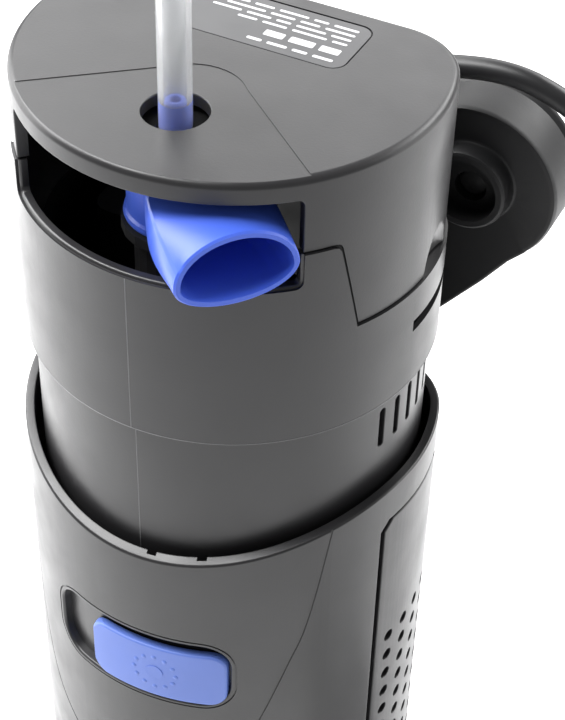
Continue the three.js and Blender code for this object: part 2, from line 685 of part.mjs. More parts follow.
function strainRelief() {
  const length = RELIEF_TO.distanceTo(RELIEF_FROM);
  const rings = 4;
  const profile = [[0, 0]];
  for (let i = 0; i < rings; i += 1) {
    const at = (length * i) / rings;
    const r = 4.3 - (1.6 * i) / rings;
    profile.push([r, at], [r, at + length / rings - 1.3], [r - 0.8, at + length / rings - 1.3]);
    profile.push([r - 0.8, at + length / rings]);
  }
  profile.push([0, length]);
  const clean = profile.map(([r, z]) => new THREE.Vector2(r, z));
  const geometry = new THREE.LatheGeometry(clean, 10);
  const turn = new THREE.Quaternion().setFromUnitVectors(
    new THREE.Vector3(0, 1, 0), RELIEF_TO.clone().sub(RELIEF_FROM).normalize(),
  );
  return solid(geometry.applyQuaternion(turn).translate(...RELIEF_FROM.toArray()));
}

function coil() {
  const r0 = COIL_MID_R - COIL_HALF_WIDTH;
  const r1 = COIL_MID_R + COIL_HALF_WIDTH;
  const c = 1.6;
  return turned([
    [r0, c + 0.2], [r0 + c, 0.2], [r1 - c, 0.2], [r1, c + 0.2], [r1, COIL_HEIGHT - c],
    [r1 - c, COIL_HEIGHT], [r0 + c, COIL_HEIGHT], [r0, COIL_HEIGHT - c], [r0, c + 0.2],
  ], ...COIL_CENTRE, 30);
}

function plugBody() {
  const outline = polygon([
    [PLUG_X - 4, PLUG_FROM], [PLUG_X - 5, PLUG_FROM - 8], [PLUG_X - 13, PLUG_FROM - 17],
    [PLUG_X - 17.6, PLUG_FROM - 27], [PLUG_X - 17.6, PLUG_FROM - 35], [PLUG_X + 17.6, PLUG_FROM - 35],
    [PLUG_X + 17.6, PLUG_FROM - 27], [PLUG_X + 13, PLUG_FROM - 17], [PLUG_X + 5, PLUG_FROM - 8],
    [PLUG_X + 4, PLUG_FROM],
  ]);
  return prism(outline, PLUG_Z - 6.8, PLUG_Z + 6.8, 1.2);
}

function plugPin(side) {
  const profile = [[0, 0], [2, 0], [2, -17.5], [1.3, -19], [0, -19]].reverse();
  const y = PLUG_FROM - 35 - GAP;
  return turnedAboutY(profile, PLUG_X + side * 9.3, PLUG_Z, 10).translate([0, y, 0]);
}

// ---------- assembly ----------
function addHead() {
  add('top_cover', topCover(), paints.cover);
  const plateOutline = roundedRectangle(
    -PLATE_HALF + GAP, PLATE_FRONT + GAP, PLATE_HALF - GAP, PLATE_REAR - GAP, 2.7,
  );
  add('rating_plate', prism(plateOutline, headTop - 0.53, headTop - 0.03), paints.plate);
  add('head_shell', headShell(), paints.housing);
  add('outlet_nozzle', outletNozzle(), paints.blue);
  add('air_spigot', airSpigot(), paints.blue);
  add('riser_pipe', riserPipe(), paints.housing);
  add('riser_seal', pipe(10.2, 8.3, HUB_FROM - 2.4, HUB_FROM - GAP, 0, SWIVEL_Y, 20), paints.rubber);
  add('air_hose', airHose(), paints.clear);
  add('air_valve_body', airValve(), paints.housing);
  add('air_valve_knob', valveKnob(), paints.blue);
}

function addPump() {
  const motorFoot = VOLUTE_TOP + GAP;
  add('motor_block', motorBlock(), paints.resin);
  add('volute', volute(), paints.housing);
  add('volute_cover', voluteCover(), paints.housing);
  add('impeller', impeller(), paints.white);
  add('rotor_magnet', pipe(6.2, 1.6, NECK_Z - 17.2, NECK_Z + 10, 0, PUMP_Y, 20), paints.magnet);
  add('ceramic_shaft', rod(1.25, NECK_Z - 36, NECK_Z + 14, 0, PUMP_Y, 10), paints.ceramic);
  add('upper_shaft_bush', pipe(6.6, 1.55, motorFoot + 29, motorFoot + 32.5, 0, PUMP_Y, 16), paints.rubber);
  add('lower_shaft_bush', pipe(3.6, 1.55, NECK_Z - 36, NECK_Z - 32.2, 0, PUMP_Y, 16), paints.rubber);
}

function addLamp() {
  const base = block(-15, 15, -6.5, 6.5, 163.3, 181);
  add('lamp_base', base, paints.white);
  add('uv_lamp_glass', lampGlass(), paints.lampGlass);
  const socket = joined(rod(16.4, 187.5, 197, 0, 0, 24), block(-15.5, 15.5, -6.3, 6.3, 181.3, 188));
  add('lamp_socket', socket, paints.resin);
  add('quartz_sleeve', quartzSleeve(), paints.quartz);
  add('sleeve_seal', pipe(21.8, 19.4, 182.5, 189.6, 0, 0, 24), paints.rubber);
  add('lamp_carrier', lampCarrier(), paints.housing);
  carrierScrews.forEach(([x, y], i) => {
    add(`carrier_screw_${i + 1}`, carrierScrew(x, y), paints.steel);
  });
}

function addCanister() {
  add('canister_body', canisterBody(), paints.housing);
  add('uv_slider', uvSlider(), paints.paleBlue);
  add('slider_screw', sliderScrew(), paints.steel);
  for (const [name, side] of [['left', -1], ['right', 1]]) {
    add(`${name}_cartridge_door`, cartridgeDoor(side), paints.housing);
    add(`${name}_cartridge_frame`, cartridgeFrame(side), paints.housing);
    add(`${name}_sponge`, sponge(side), paints.sponge);
  }
}

function addHanger() {
  add('hanger', hanger(), paints.hanger);
  for (const [name, x, z] of lobes) {
    add(`${name}_suction_cup`, suctionCup(x, z), paints.rubber);
  }
}

function addLead() {
  const gland = block(-7, 4.3, HEAD_BACK + 0.1, 38.5, NECK_Z + 33, NECK_Z + 44);
  add('cable_gland', gland, paints.housing);
  add('strain_relief', strainRelief(), paints.lead);
  add('power_cable', tube(leadRoute, CABLE_R, 8, 44), paints.lead);
  add('cable_coil', coil(), paints.lead);
  add('cable_tail', tube(tailRoute, CABLE_R, 8, 5), paints.lead);
  add('plug_body', plugBody(), paints.lead);
  add('plug_pin_left', plugPin(-1), paints.brass);
  add('plug_pin_right', plugPin(1), paints.brass);
}

addHead();
addPump();
addLamp();
addCanister();
addHanger();
addLead();

export default part;
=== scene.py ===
"""The looks of an internal power filter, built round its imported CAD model.

Lengths are in millimetres until a mesh is made, which turns them into metres. The camera and the
lights are placed in metres.
"""
import json
import math

import bmesh
import bpy
from mathutils import Matrix, Vector, noise


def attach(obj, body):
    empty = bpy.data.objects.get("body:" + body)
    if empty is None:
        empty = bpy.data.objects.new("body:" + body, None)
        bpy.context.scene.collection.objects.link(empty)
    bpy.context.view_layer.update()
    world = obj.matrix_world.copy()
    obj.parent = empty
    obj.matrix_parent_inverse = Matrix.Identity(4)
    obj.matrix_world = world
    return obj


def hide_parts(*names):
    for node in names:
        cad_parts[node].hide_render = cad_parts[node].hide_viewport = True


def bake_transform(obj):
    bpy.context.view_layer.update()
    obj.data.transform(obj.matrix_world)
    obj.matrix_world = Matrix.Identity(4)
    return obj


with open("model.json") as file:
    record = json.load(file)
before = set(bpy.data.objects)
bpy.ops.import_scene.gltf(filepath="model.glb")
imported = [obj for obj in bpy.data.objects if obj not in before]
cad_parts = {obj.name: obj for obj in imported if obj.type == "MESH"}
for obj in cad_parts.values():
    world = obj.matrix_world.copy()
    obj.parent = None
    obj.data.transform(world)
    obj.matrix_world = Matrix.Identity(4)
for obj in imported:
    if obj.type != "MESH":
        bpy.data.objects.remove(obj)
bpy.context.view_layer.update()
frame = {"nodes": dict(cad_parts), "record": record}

MM = 0.001

# ---------- sizes ----------
# They agree with the CAD's, except that the side covers have more and smaller holes here and fit a
# little differently, the slider's slot is deeper and the parting line is a little wider.
NECK_Z = 241.5  # lower edge of the pump head
HEAD_R = 41
HEAD_BACK = 24
BACK_CORNER = 15
HEAD_TOP = NECK_Z + 58.5
HOUSING_TOP = NECK_Z + 46  # behind the cover
COVER_DRAFT = 0.5
WALL = 2.2
PLATE_HALF = 19.5  # half width of the rating plate's recess
PLATE_FRONT = 3.1
PLATE_REAR = 19.2
SCOOP_AT = (43.5, 5.2)  # middle of the right finger recess, seen from above
SCOOP_RADII = (5, 9, 13.5)
VENT_FRONT = -5.3
VENT_REAR = 14
VENT_BOTTOM = NECK_Z + 13.1
VENT_TOP = NECK_Z + 15.7
NECK_INSET = 1.6
NECK_FOOT = NECK_Z - 46
NECK_SLOTS = 5  # on each side
NECK_SLOT_HALF = 0.8
NECK_SLOT_TOP = NECK_Z - 3.4
NECK_SLOT_BOTTOM = NECK_Z - 13.2
NECK_SLOT_FIRST = 74.7  # degrees from the front
NECK_SLOT_PITCH = 7

CANISTER_R = 43
CANISTER_BACK = 26
CANISTER_CORNER = 17
RIM_SIDE = NECK_Z - 22.3  # the rim's height at the sides
RIM_DIP = 10  # how much lower it is at the front
RIM_DIP_START = 5  # the dip starts this far in front of the axis
NOTCH_ANGLES = (5.9, 20)  # notches inside the rim, degrees right of the front
NOTCH_WALL = 1.1  # what is left of the wall in front of a notch

SWIVEL_Y = -21.3  # upright axis of the outlet, the air nipple and the hose
REST_HEADING = 50.5  # the outlet's heading, degrees right of the front
MOUTH_Z = NECK_Z + 43  # height of its mouth's widest line
MOUTH_LEAN = 0.12  # how far the mouth leans back for each millimetre of height
WINDOW_HALF = 45  # half angle of the front window, in degrees
WINDOW_TOP = NECK_Z + 54.1
SILL_Z = NECK_Z + 36.3  # top of the housing's wall in the window
STEP_HIGH = NECK_Z + 43.1  # the parting line at the front
STEP_LOW = NECK_Z + 23.6  # the parting line at the sides and back
STEP_FRONT_Y = -23.4
STEP_BACK_Y = -19.7
PARTING_GAP = 0.2  # to each side of the parting line
STEP_OPENING = 1.8  # the sloping step opens this much wider than the level parts

SLOT_HALF = 20.9
SLOT_TOP = NECK_Z - 55.2
SLOT_BOTTOM = NECK_Z - 73.4
SLOT_DEPTH = 2
SLIDER_HALF = 15
SLIDER_TOP = NECK_Z - 57.8
SLIDER_BOTTOM = SLOT_BOTTOM + 0.3
SLIDER_REST = 6.5  # degrees right of the front

DOOR_HALF = 13.5
DOOR_TOP = NECK_Z - 31.4
DOOR_BOTTOM = 14
HOLE_ANGLES = (79.4, 87.6, 95.8, 104)
HOLE_ROWS = 23
HOLE_PITCH = 6.24
FIRST_HOLE_Z = NECK_Z - 69.7
HOLE_R = 1.4
SPONGE_X = (26.6, 38.4)
SPONGE_Y = (-10.1, 10.1)
SPONGE_Z = (19.1, 184.9)

LOBE_X = 34.5
LOBE_R = 18
LOBE_FACE = 36  # the lobes' front faces
LOBE_DEPTH = 11
LOBE_PLATE = 2.5
LOBE_WALL = 1.8
UPPER_LOBE_Z = NECK_Z + 18
LOWER_LOBE_Z = 45
SPINE_Z = (36, 212)
GLASS_Y = 50  # plane of the suction cups' lips

HOSE_R = 3
HOSE_BORE = 2.1
HOSE_FROM = NECK_Z + 55
HOSE_LENGTH = 42.3

CABLE_R = 2.25
COIL_CENTRE = (134.3, 23.85)
COIL_OUTER = 32
COIL_INNER = 18.05
COIL_TURNS = 3  # in each of two layers
COIL_STEPS = 40  # in each turn
LAYER_LOW = 2.45
LAYER_HIGH = 7.15
RELIEF_FROM = Vector((6, 33.6, NECK_Z + 39))
RELIEF_TO = Vector((25.6, 33.9, NECK_Z + 44.7))
PLUG_X = 161.7
PLUG_FROM = -17.2  # where the lead enters the plug
PLUG_Z = 6.9
PLUG_THICK = 6.8  # half the plug's thickness

FAR = 80  # further out than any side of the head or canister
ROUND_STEPS = 112  # steps round the front of a body's outline
CORNER_STEPS = 14
POINT = 1e-6  # radius of a ring that closes on its axis
NOISE_RANGE = (0.3, 0.7)  # where nearly all of a noise's values lie

LEAD_ROUTE = [
    (25.9, 33.9, 286.3), (30.2, 34, 287.3), (34.6, 34, 288.2), (38.6, 34.1, 288.6), (42.7, 34.3, 288.4),
    (46.8, 34.6, 287.4), (52, 35, 285.2), (57.5, 35.6, 281.4), (63, 36.4, 275.6), (67.6, 37.3, 268.2),
    (71.4, 38.3, 259), (74.4, 39.4, 247.6), (77, 40.6, 233), (79.6, 42, 214), (82.2, 43.6, 191),
    (84.6, 45.2, 166), (86.8, 46.8, 140), (88.8, 48.4, 114), (90.6, 50, 89), (92.2, 51.4, 66),
    (94, 52.7, 46), (97, 53.9, 28), (101.6, 54.9, 14), (107.8, 55.6, 5.4), (114.7, 55.85, 2.6),
    (124, 55.85, 2.45),
]
TAIL_ROUTE = [
    (166.3, 14, 6.8), (166.3, 5.1, 6.3), (166.1, 0.2, 6.05), (165.2, -4.8, 5.95), (163.8, -9.3, 6.2),
    (162.4, -13, 6.6), (161.8, -16.7, 6.9),
]

# ---------- camera ----------
# Its right and up directions are those before it rolls.
CAMERA_AT = Vector((0.134, -0.2509, 0.477))
CAMERA_RIGHT = Vector((0.8983, 0.4393, 0))
CAMERA_UP = Vector((-0.2903, 0.5935, 0.7507))
CAMERA_ROLL = math.radians(1.62)
CAMERA_LENS = 92.37


def place(obj):
    bpy.context.scene.collection.objects.link(obj)
    return obj


def make_camera():
    camera = place(bpy.data.objects.new("camera", bpy.data.cameras.new("camera")))
    right = CAMERA_RIGHT * math.cos(CAMERA_ROLL) + CAMERA_UP * math.sin(CAMERA_ROLL)
    up = CAMERA_UP * math.cos(CAMERA_ROLL) - CAMERA_RIGHT * math.sin(CAMERA_ROLL)
    turn = Matrix((right, up, right.cross(up))).transposed().to_4x4()
    camera.matrix_world = Matrix.Translation(CAMERA_AT) @ turn
    camera.data.lens = CAMERA_LENS
    camera.data.sensor_width = 36
    bpy.context.scene.camera = camera


# ---------- meshes ----------
def solid(name, points, faces):
    mesh = bpy.data.meshes.new(name)
    mesh.from_pydata([Vector(p) * MM for p in points], [], faces)
    shape = bmesh.new()
    shape.from_mesh(mesh)
    bmesh.ops.remove_doubles(shape, verts=shape.verts, dist=1e-7)
    bmesh.ops.recalc_face_normals(shape, faces=shape.faces)
    shape.to_mesh(mesh)
    shape.free()
    return place(bpy.data.objects.new(name, mesh))


def stack(rings, loop=False):
    """A solid through rings of equal count: closed by its end rings, or back to its first ring."""
    count = len(rings[0])
    points = [p for ring in rings for p in ring]
    faces = []
    for i in range(len(rings) if loop else len(rings) - 1):
        low, high = i * count, (i + 1) % len(rings) * count
        for j in range(count):
            k = (j + 1) % count
            faces.append((low + j, low + k, high + k, high + j))
    if not loop:
        faces.append(tuple(range(count))[::-1])
        faces.append(tuple(range(len(points) - count, len(points))))
    return solid("shape", points, faces)


def arc(cx, cy, r, start, end, steps):
    """Points along an arc, with its angles in degrees."""
    turns = [math.radians(start + (end - start) * i / steps) for i in range(steps + 1)]
    return [(cx + r * math.cos(a), cy + r * math.sin(a)) for a in turns]


def circle(r, cx, cy, sides):
    return arc(cx, cy, max(r, POINT), 0, 360, sides)[:-1]


def body_outline(radius, back, inset, corner):
    """Round front, flat back and rounded back corners, each moved in by inset."""
    r, c = radius - inset, corner - inset
    cy = back - inset - c
    cx = math.sqrt((r - c) ** 2 - cy ** 2)
    meet = math.degrees(math.atan2(cy, cx))
    front = arc(0, 0, r, 180 - meet, 360 + meet, ROUND_STEPS)
    right = arc(cx, cy, c, meet, 90, CORNER_STEPS)[1:]
    left = arc(-cx, cy, c, 90, 180 - meet, CORNER_STEPS)[:-1]
    return front + right + left


def rounded_box(x0, y0, x1, y1, r, steps=6):
    corners = [(x1 - r, y0 + r, -90), (x1 - r, y1 - r, 0), (x0 + r, y1 - r, 90), (x0 + r, y0 + r, 180)]
    return [p for cx, cy, a in corners for p in arc(cx, cy, r, a, a + 90, steps)]


def fillet(z, r, upwards=True, steps=5):
    """Inset and height pairs that round an edge at height z."""
    pairs = []
    for i in range(steps + 1):
        a = math.radians(90 * i / steps)
        pairs.append((r * (1 - math.cos(a)), z - r * (1 - math.sin(a))))
    if upwards:
        return pairs
    return [(inset, 2 * z - height) for inset, height in reversed(pairs)]


def walled(radius, back, path, corner=BACK_CORNER, loop=False):
    """A solid whose wall follows inset and height pairs round the body's outline."""
    rings = []
    for inset, z in path:
        rings.append([(x, y, z) for x, y in body_outline(radius, back, inset, corner)])
    return stack(rings, loop)


def prism(outline, z0, z1):
    return stack([[(x, y, z) for x, y in outline] for z in (z0, z1)])


def along_x(outline, x0, x1):
    return stack([[(x, y, z) for y, z in outline] for x in (x0, x1)])


def along_y(outline, y0, y1):
    return stack([[(x, y, z) for x, z in outline] for y in (y0, y1)])


def box(x0, x1, y0, y1, z0, z1):
    return prism([(x0, y0), (x1, y0), (x1, y1), (x0, y1)], z0, z1)


def turned(profile, y=0.0, sides=64, loop=False):
    """Radius and height pairs, turned about the upright axis at y."""
    rings = []
    for r, z in profile:
        rings.append([(px, py, z) for px, py in circle(r, 0, y, sides)])
    return stack(rings, loop)


def turned_y(profile, x, z, sides, loop=False):
    """Radius and distance pairs, turned about an axis along Y."""
    rings = []
    for r, y in profile:
        rings.append([(px, y, pz) for px, pz in circle(r, x, z, sides)])
    return stack(rings, loop)


def tube(outer, inner, z0, z1):
    return turned([(outer, z0), (outer, z1), (inner, z1), (inner, z0)], sides=200, loop=True)


def ball(centre, radii, steps):
    """An ellipsoid, which is a round ball stretched to its three radii."""
    turns = [math.radians(-90 + 180 * i / steps) for i in range(steps + 1)]
    shape = turned([(math.cos(a), math.sin(a)) for a in turns], sides=2 * steps)
    for vertex in shape.data.vertices:
        vertex.co = [(c + v / MM * r) * MM for c, v, r in zip(centre, vertex.co, radii)]
    return shape


def flared(bottom, surface, lip, steps=4):
    """Levels and widenings of a hole that ends in a rounded lip at the surface."""
    levels = [(bottom, 0)]
    for i in range(steps + 1):
        a = math.radians(90 * i / steps)
        levels.append((surface - lip + lip * math.sin(a), lip * (1 - math.cos(a))))
    return levels + [(surface + 6, lip)]


def wrapped(outline, levels, radius):
    """A solid wrapped round the front. outline(grow) gives arc lengths and heights.

    The flat solid is first divided into strips, so that its wide faces bend too.
    """
    strip = 2.5
    flat = stack([[(along, height, level) for along, height in outline(grow)] for level, grow in levels])
    shape = bmesh.new()
    shape.from_mesh(flat.data)
    strips = math.ceil(max(abs(v.co.x) for v in shape.verts) / (strip * MM))
    for k in range(-strips, strips + 1):
        everything = shape.verts[:] + shape.edges[:] + shape.faces[:]
        bmesh.ops.bisect_plane(shape, geom=everything, plane_co=(k * strip * MM, 0, 0), plane_no=(1, 0, 0))
    for vertex in shape.verts:
        along, height, level = vertex.co
        angle = along / (radius * MM)
        vertex.co = (level * math.sin(angle), -level * math.cos(angle), height)
    bmesh.ops.recalc_face_normals(shape, faces=shape.faces)
    shape.to_mesh(flat.data)
    shape.free()
    return flat


def move(obj, matrix):
    obj.data.transform(matrix)
    return obj


def copy_of(obj):
    return place(bpy.data.objects.new(obj.name, obj.data.copy()))


def spun(obj, degrees, y=0.0):
    """Turns the object about the upright axis at y."""
    centre = Matrix.Translation((0, y * MM, 0))
    turn = Matrix.Rotation(math.radians(degrees), 4, "Z")
    return move(obj, centre @ turn @ centre.inverted())


def mirrored(obj):
    move(obj, Matrix.Scale(-1, 4, (1, 0, 0)))
    obj.data.flip_normals()
    return obj


def merged(shapes):
    """Shapes that don't touch, as one object."""
    whole = bmesh.new()
    for shape in shapes:
        whole.from_mesh(shape.data)
        bpy.data.objects.remove(shape)
    mesh = bpy.data.meshes.new("shape")
    whole.to_mesh(mesh)
    whole.free()
    return place(bpy.data.objects.new("shape", mesh))


def bake(obj):
    """Turns the object's modifiers into its mesh."""
    graph = bpy.context.evaluated_depsgraph_get()
    mesh = bpy.data.meshes.new_from_object(obj.evaluated_get(graph))
    obj.modifiers.clear()
    obj.data = mesh
    return obj


def combine(operation, obj, tools):
    for tool in tools:
        step = obj.modifiers.new("step", "BOOLEAN")
        step.operation = operation
        step.solver = "MANIFOLD"
        step.object = tool
    bake(obj)
    for tool in tools:
        bpy.data.objects.remove(tool)
    return obj


def cut(obj, *tools):
    return combine("DIFFERENCE", obj, tools)


def joined(obj, *tools):
    return combine("UNION", obj, tools)


def common(obj, *tools):
    return combine("INTERSECT", obj, tools)


def soften(obj, width, segments=2):
    """Rounds the sharp edges and shades the faces between them as smooth."""
    edges = obj.modifiers.new("edges", "BEVEL")
    edges.width = width * MM
    edges.segments = segments
    edges.limit_method = "ANGLE"
    edges.angle_limit = math.radians(32)
    edges.use_clamp_overlap = False
    return smooth(bake(obj))


def smooth(obj, angle=38):
    obj.data.shade_smooth()
    obj.data.set_sharp_from_angle(angle=math.radians(angle))
    return obj


def settle_normals(obj):
    normals = obj.modifiers.new("normals", "WEIGHTED_NORMAL")
    normals.keep_sharp = True
    return obj


# ---------- routes ----------
def curve_through(points, step):
    """Points about a step apart on a smooth curve through the given ones."""
    points = [Vector(p) for p in points]
    ends = [points[0] * 2 - points[1]] + points + [points[-1] * 2 - points[-2]]
    line = []
    for a, b, c, d in zip(ends, ends[1:], ends[2:], ends[3:]):
        count = max(1, round((c - b).length / step))
        for i in range(count):
            t = i / count
            line.append(0.5 * (2 * b + (c - a) * t + (2 * a - 5 * b + 4 * c - d) * t ** 2
                               + (3 * b - a - 3 * c + d) * t ** 3))
    return line + [points[-1]]


def tube_along(line, radius, sides, bore=0.0):
    """A tube along a line, its rings turning as little as they can. radius may be a list."""
    radii = radius if isinstance(radius, list) else [radius] * len(line)
    side = (line[1] - line[0]).orthogonal().normalized()
    rings = []
    for i in range(len(line)):
        along = (line[min(i + 1, len(line) - 1)] - line[max(i - 1, 0)]).normalized()
        side = (side - along * side.dot(along)).normalized()
        up = along.cross(side)
        turns = [2 * math.pi * k / sides for k in range(sides)]
        rings.append([(side * math.cos(a) + up * math.sin(a)) for a in turns])
    outer = [[p + d * r for d in ring] for p, ring, r in zip(line, rings, radii)]
    if not bore:
        return stack(outer)
    inner = [[p + d * bore for d in ring] for p, ring in zip(line, rings)]
    return stack(outer + inner[::-1], loop=True)


def coil_route():
    """Inwards on the floor, a quarter turn up, and outwards on top, seen from above clockwise."""
    stages = [
        (COIL_TURNS, COIL_OUTER, COIL_INNER, LAYER_LOW, LAYER_LOW),
        (0.25, COIL_INNER, COIL_INNER, LAYER_LOW, LAYER_HIGH),
        (COIL_TURNS, COIL_INNER, COIL_OUTER, LAYER_HIGH, LAYER_HIGH),
    ]
    points, start = [], 90.0
    for turns, r0, r1, z0, z1 in stages:
        steps = round(turns * COIL_STEPS)
        for i in range(steps):
            t = i / steps
            ease = t * t * (3 - 2 * t)
            r = r0 + (r1 - r0) * t
            z = z0 + (z1 - z0) * ease
            a = math.radians(start - 360 * turns * t)
            points.append((COIL_CENTRE[0] + r * math.cos(a), COIL_CENTRE[1] + r * math.sin(a), z))
        start -= 360 * turns
    points.append((COIL_CENTRE[0] + COIL_OUTER, COIL_CENTRE[1], LAYER_HIGH))
    return points


# ---------- materials ----------
FINISHES = {}  # every material by its name


class Finish:
    """A material whose colour, roughness and bump come from noise in the piece's own space."""

    def __init__(self, name, color, roughness, **sockets):
        material = bpy.data.materials.new(name)
        material.use_nodes = True
        FINISHES[name] = material
        self.tree = material.node_tree
        self.shader = self.tree.nodes["Principled BSDF"]
        self.shader.inputs["Base Color"].default_value = (*color, 1)
        self.shader.inputs["Roughness"].default_value = roughness
        for socket, value in sockets.items():
            self.shader.inputs[socket.replace("_", " ")].default_value = value
        self.position = self.tree.nodes.new("ShaderNodeTexCoord").outputs["Object"]
        self.normal = None

    def node(self, kind, **inputs):
        made = self.tree.nodes.new(kind)
        for key, value in inputs.items():
            socket = made.inputs[key.replace("_", " ")]
            if isinstance(value, bpy.types.NodeSocket):
                self.tree.links.new(value, socket)
            else:
                socket.default_value = value
        return made

    def noise(self, scale, detail, roughness=0.55, stretch=None):
        position = self.position
        if stretch:
            position = self.node("ShaderNodeMapping", Vector=position, Scale=stretch).outputs["Vector"]
        made = self.node(
            "ShaderNodeTexNoise", Vector=position, Scale=scale, Detail=detail, Roughness=roughness,
        )
        return made.outputs["Fac"]

    def vary_color(self, fac, dark, light):
        ramp = self.tree.nodes.new("ShaderNodeValToRGB")
        for element, position, color in zip(ramp.color_ramp.elements, NOISE_RANGE, (dark, light)):
            element.position = position
            element.color = (*color, 1)
        self.tree.links.new(fac, ramp.inputs["Fac"])
        self.tree.links.new(ramp.outputs["Color"], self.shader.inputs["Base Color"])

    def vary_roughness(self, fac, low, high):
        start, end = NOISE_RANGE
        spread = self.node(
            "ShaderNodeMapRange", Value=fac, From_Min=start, From_Max=end, To_Min=low, To_Max=high,
        )
        self.tree.links.new(spread.outputs["Result"], self.shader.inputs["Roughness"])

    def bump(self, height, depth):
        """Adds a bump whose full height is depth, in millimetres, on top of those before it."""
        made = self.node("ShaderNodeBump", Height=height, Distance=depth * MM, Strength=1.0)
        if self.normal:
            self.tree.links.new(self.normal, made.inputs["Normal"])
        self.normal = made.outputs["Normal"]
        self.tree.links.new(self.normal, self.shader.inputs["Normal"])


def shade(color, factor):
    return tuple(min(1.0, c * factor) for c in color)


def moulded(name, color, roughness, grain=0.012, grain_size=0.45, spread=0.05, **sockets):
    """Moulded plastic: a spark-eroded grain, slow colour drift and patches of polish."""
    finish = Finish(name, color, roughness, **sockets)
    finish.vary_color(finish.noise(38, 4), shade(color, 0.93), shade(color, 1.07))
    finish.vary_roughness(finish.noise(90, 5), roughness - spread, roughness + spread)
    finish.bump(finish.noise(1 / (grain_size * MM), 2, 0.6), grain)
    finish.bump(finish.noise(60, 2), 0.03)


def metal(name, color, roughness):
    """Metal with fine marks that run round the piece."""
    finish = Finish(name, color, roughness, Metallic=1.0)
    stretch = (1, 1, 12)
    finish.vary_color(finish.noise(300, 4), shade(color, 0.9), shade(color, 1.05))
    finish.vary_roughness(finish.noise(900, 3, stretch=stretch), roughness - 0.06, roughness + 0.08)
    finish.bump(finish.noise(1500, 2, stretch=stretch), 0.006)


def foam(name, color):
    """Open foam with cells about 1.5 mm across, their hollows painted dark as shade."""
    finish = Finish(name, color, 0.95)
    cells = finish.node(
        "ShaderNodeTexVoronoi", Vector=finish.position, Scale=1 / (1.5 * MM), Randomness=1.0,
    )
    depth = cells.outputs["Distance"]
    # Painted shade: each cell is darker where its bump sinks deepest, and lighter at its rim.
    finish.vary_color(depth, shade(color, 0.25), shade(color, 1.5))
    finish.bump(depth, 0.7)
    finish.bump(finish.noise(900, 4), 0.2)


def clear(name, color, roughness, **sockets):
    """Glass or clear plastic with faint streaks along its length."""
    finish = Finish(name, color, roughness, **sockets)
    finish.vary_color(finish.noise(120, 3), shade(color, 0.97), color)
    streaks = finish.noise(260, 3, stretch=(1, 1, 0.1))
    finish.vary_roughness(streaks, max(0.0, roughness - 0.03), roughness + 0.06)
    finish.bump(finish.noise(700, 2, stretch=(1, 1, 0.05)), 0.01)


moulded("housing", (0.0215, 0.021, 0.0224), 0.33)
moulded("rating_plate", (0.05, 0.05, 0.053), 0.34, grain=0.004)
moulded("blue_plastic", (0.07, 0.15, 0.76), 0.37, grain=0.003, spread=0.04)
moulded("pale_blue_plastic", (0.115, 0.2, 0.62), 0.42, grain=0.006, spread=0.04)
clear("clear_hose", (0.95, 0.96, 0.97), 0.12, Transmission_Weight=0.78, IOR=1.42)
clear("quartz", (0.97, 0.985, 1), 0.03, Transmission_Weight=1.0, IOR=1.46)
clear("lamp_glass", (0.9, 0.92, 0.93), 0.08, Transmission_Weight=0.35, IOR=1.5)
moulded("white_plastic", (0.72, 0.72, 0.69), 0.45)
moulded("black_rubber", (0.014, 0.014, 0.015), 0.58, grain=0.01, grain_size=0.3)
moulded("hanger_plastic", (0.008, 0.008, 0.0088), 0.5, Specular_IOR_Level=0.38)
foam("sponge", (0.045, 0.05, 0.055))
moulded("resin", (0.008, 0.008, 0.009), 0.45, grain=0.02, grain_size=2.5)
moulded("magnet", (0.035, 0.035, 0.038), 0.38, Metallic=0.4)
moulded("ceramic", (0.85, 0.83, 0.79), 0.2, grain=0.002)
metal("screw_steel", (0.62, 0.62, 0.6), 0.28)
metal("pin_brass", (0.78, 0.74, 0.64), 0.22)
moulded("lead", (0.011, 0.011, 0.012), 0.4, grain=0.004, grain_size=0.8)

# These are for the pieces that stand for no CAD node.
# A light grey for the mould lines: painted highlight, not the plastic's own colour.
moulded("flash_and_painted_highlight", (0.17, 0.17, 0.175), 0.35)
# Near-black: the black washer, and painted shadow in the parting line and inside the housing.
moulded("black_and_painted_shadow", (0.004, 0.004, 0.0044), 0.7, Specular_IOR_Level=0.2)
moulded("ink", (0.5, 0.5, 0.51), 0.45, grain=0.004)


def paint(obj, finish):
    obj.data.materials.clear()
    obj.data.materials.append(FINISHES[finish])


def finish_piece(obj, name, body, slot, *replaced):
    """Names and paints a piece that stands for CAD nodes. A piece that is blended has no body."""
    obj.name = name
    obj.data.name = name
    paint(obj, slot)
    if body:
        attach(obj, body)
    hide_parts(*replaced)
    return obj


def extra_piece(obj, name, body, finish):
    """Names and paints a small piece that stands for no CAD node."""
    obj.name = name
    obj.data.name = name
    paint(obj, finish)
    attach(obj, body)


# ---------- cords ----------
def make_plug():
    half = [(4, 0), (4.6, -8), (7.4, -13), (12, -17.5), (15.6, -21.5), (17.3, -27), (17.6, -35)]
    outline = [(PLUG_X + x, PLUG_FROM + y) for x, y in half]
    outline += [(PLUG_X - x, PLUG_FROM + y) for x, y in reversed(half)]
    faces = (PLUG_Z - PLUG_THICK, PLUG_Z + PLUG_THICK)
    body = soften(prism(outline, *faces), 1.8, 4)
    grips = []
    for i in range(5):
        y = PLUG_FROM - 19 - 2.2 * i
        for z in faces:
            grips.append(box(PLUG_X - 8, PLUG_X + 8, y - 0.5, y + 0.5, z - 0.5, z + 0.5))
    body = soften(cut(body, merged(grips)), 0.2)
    return finish_piece(settle_normals(body), "mains_plug", "canister", "lead", "plug_body")


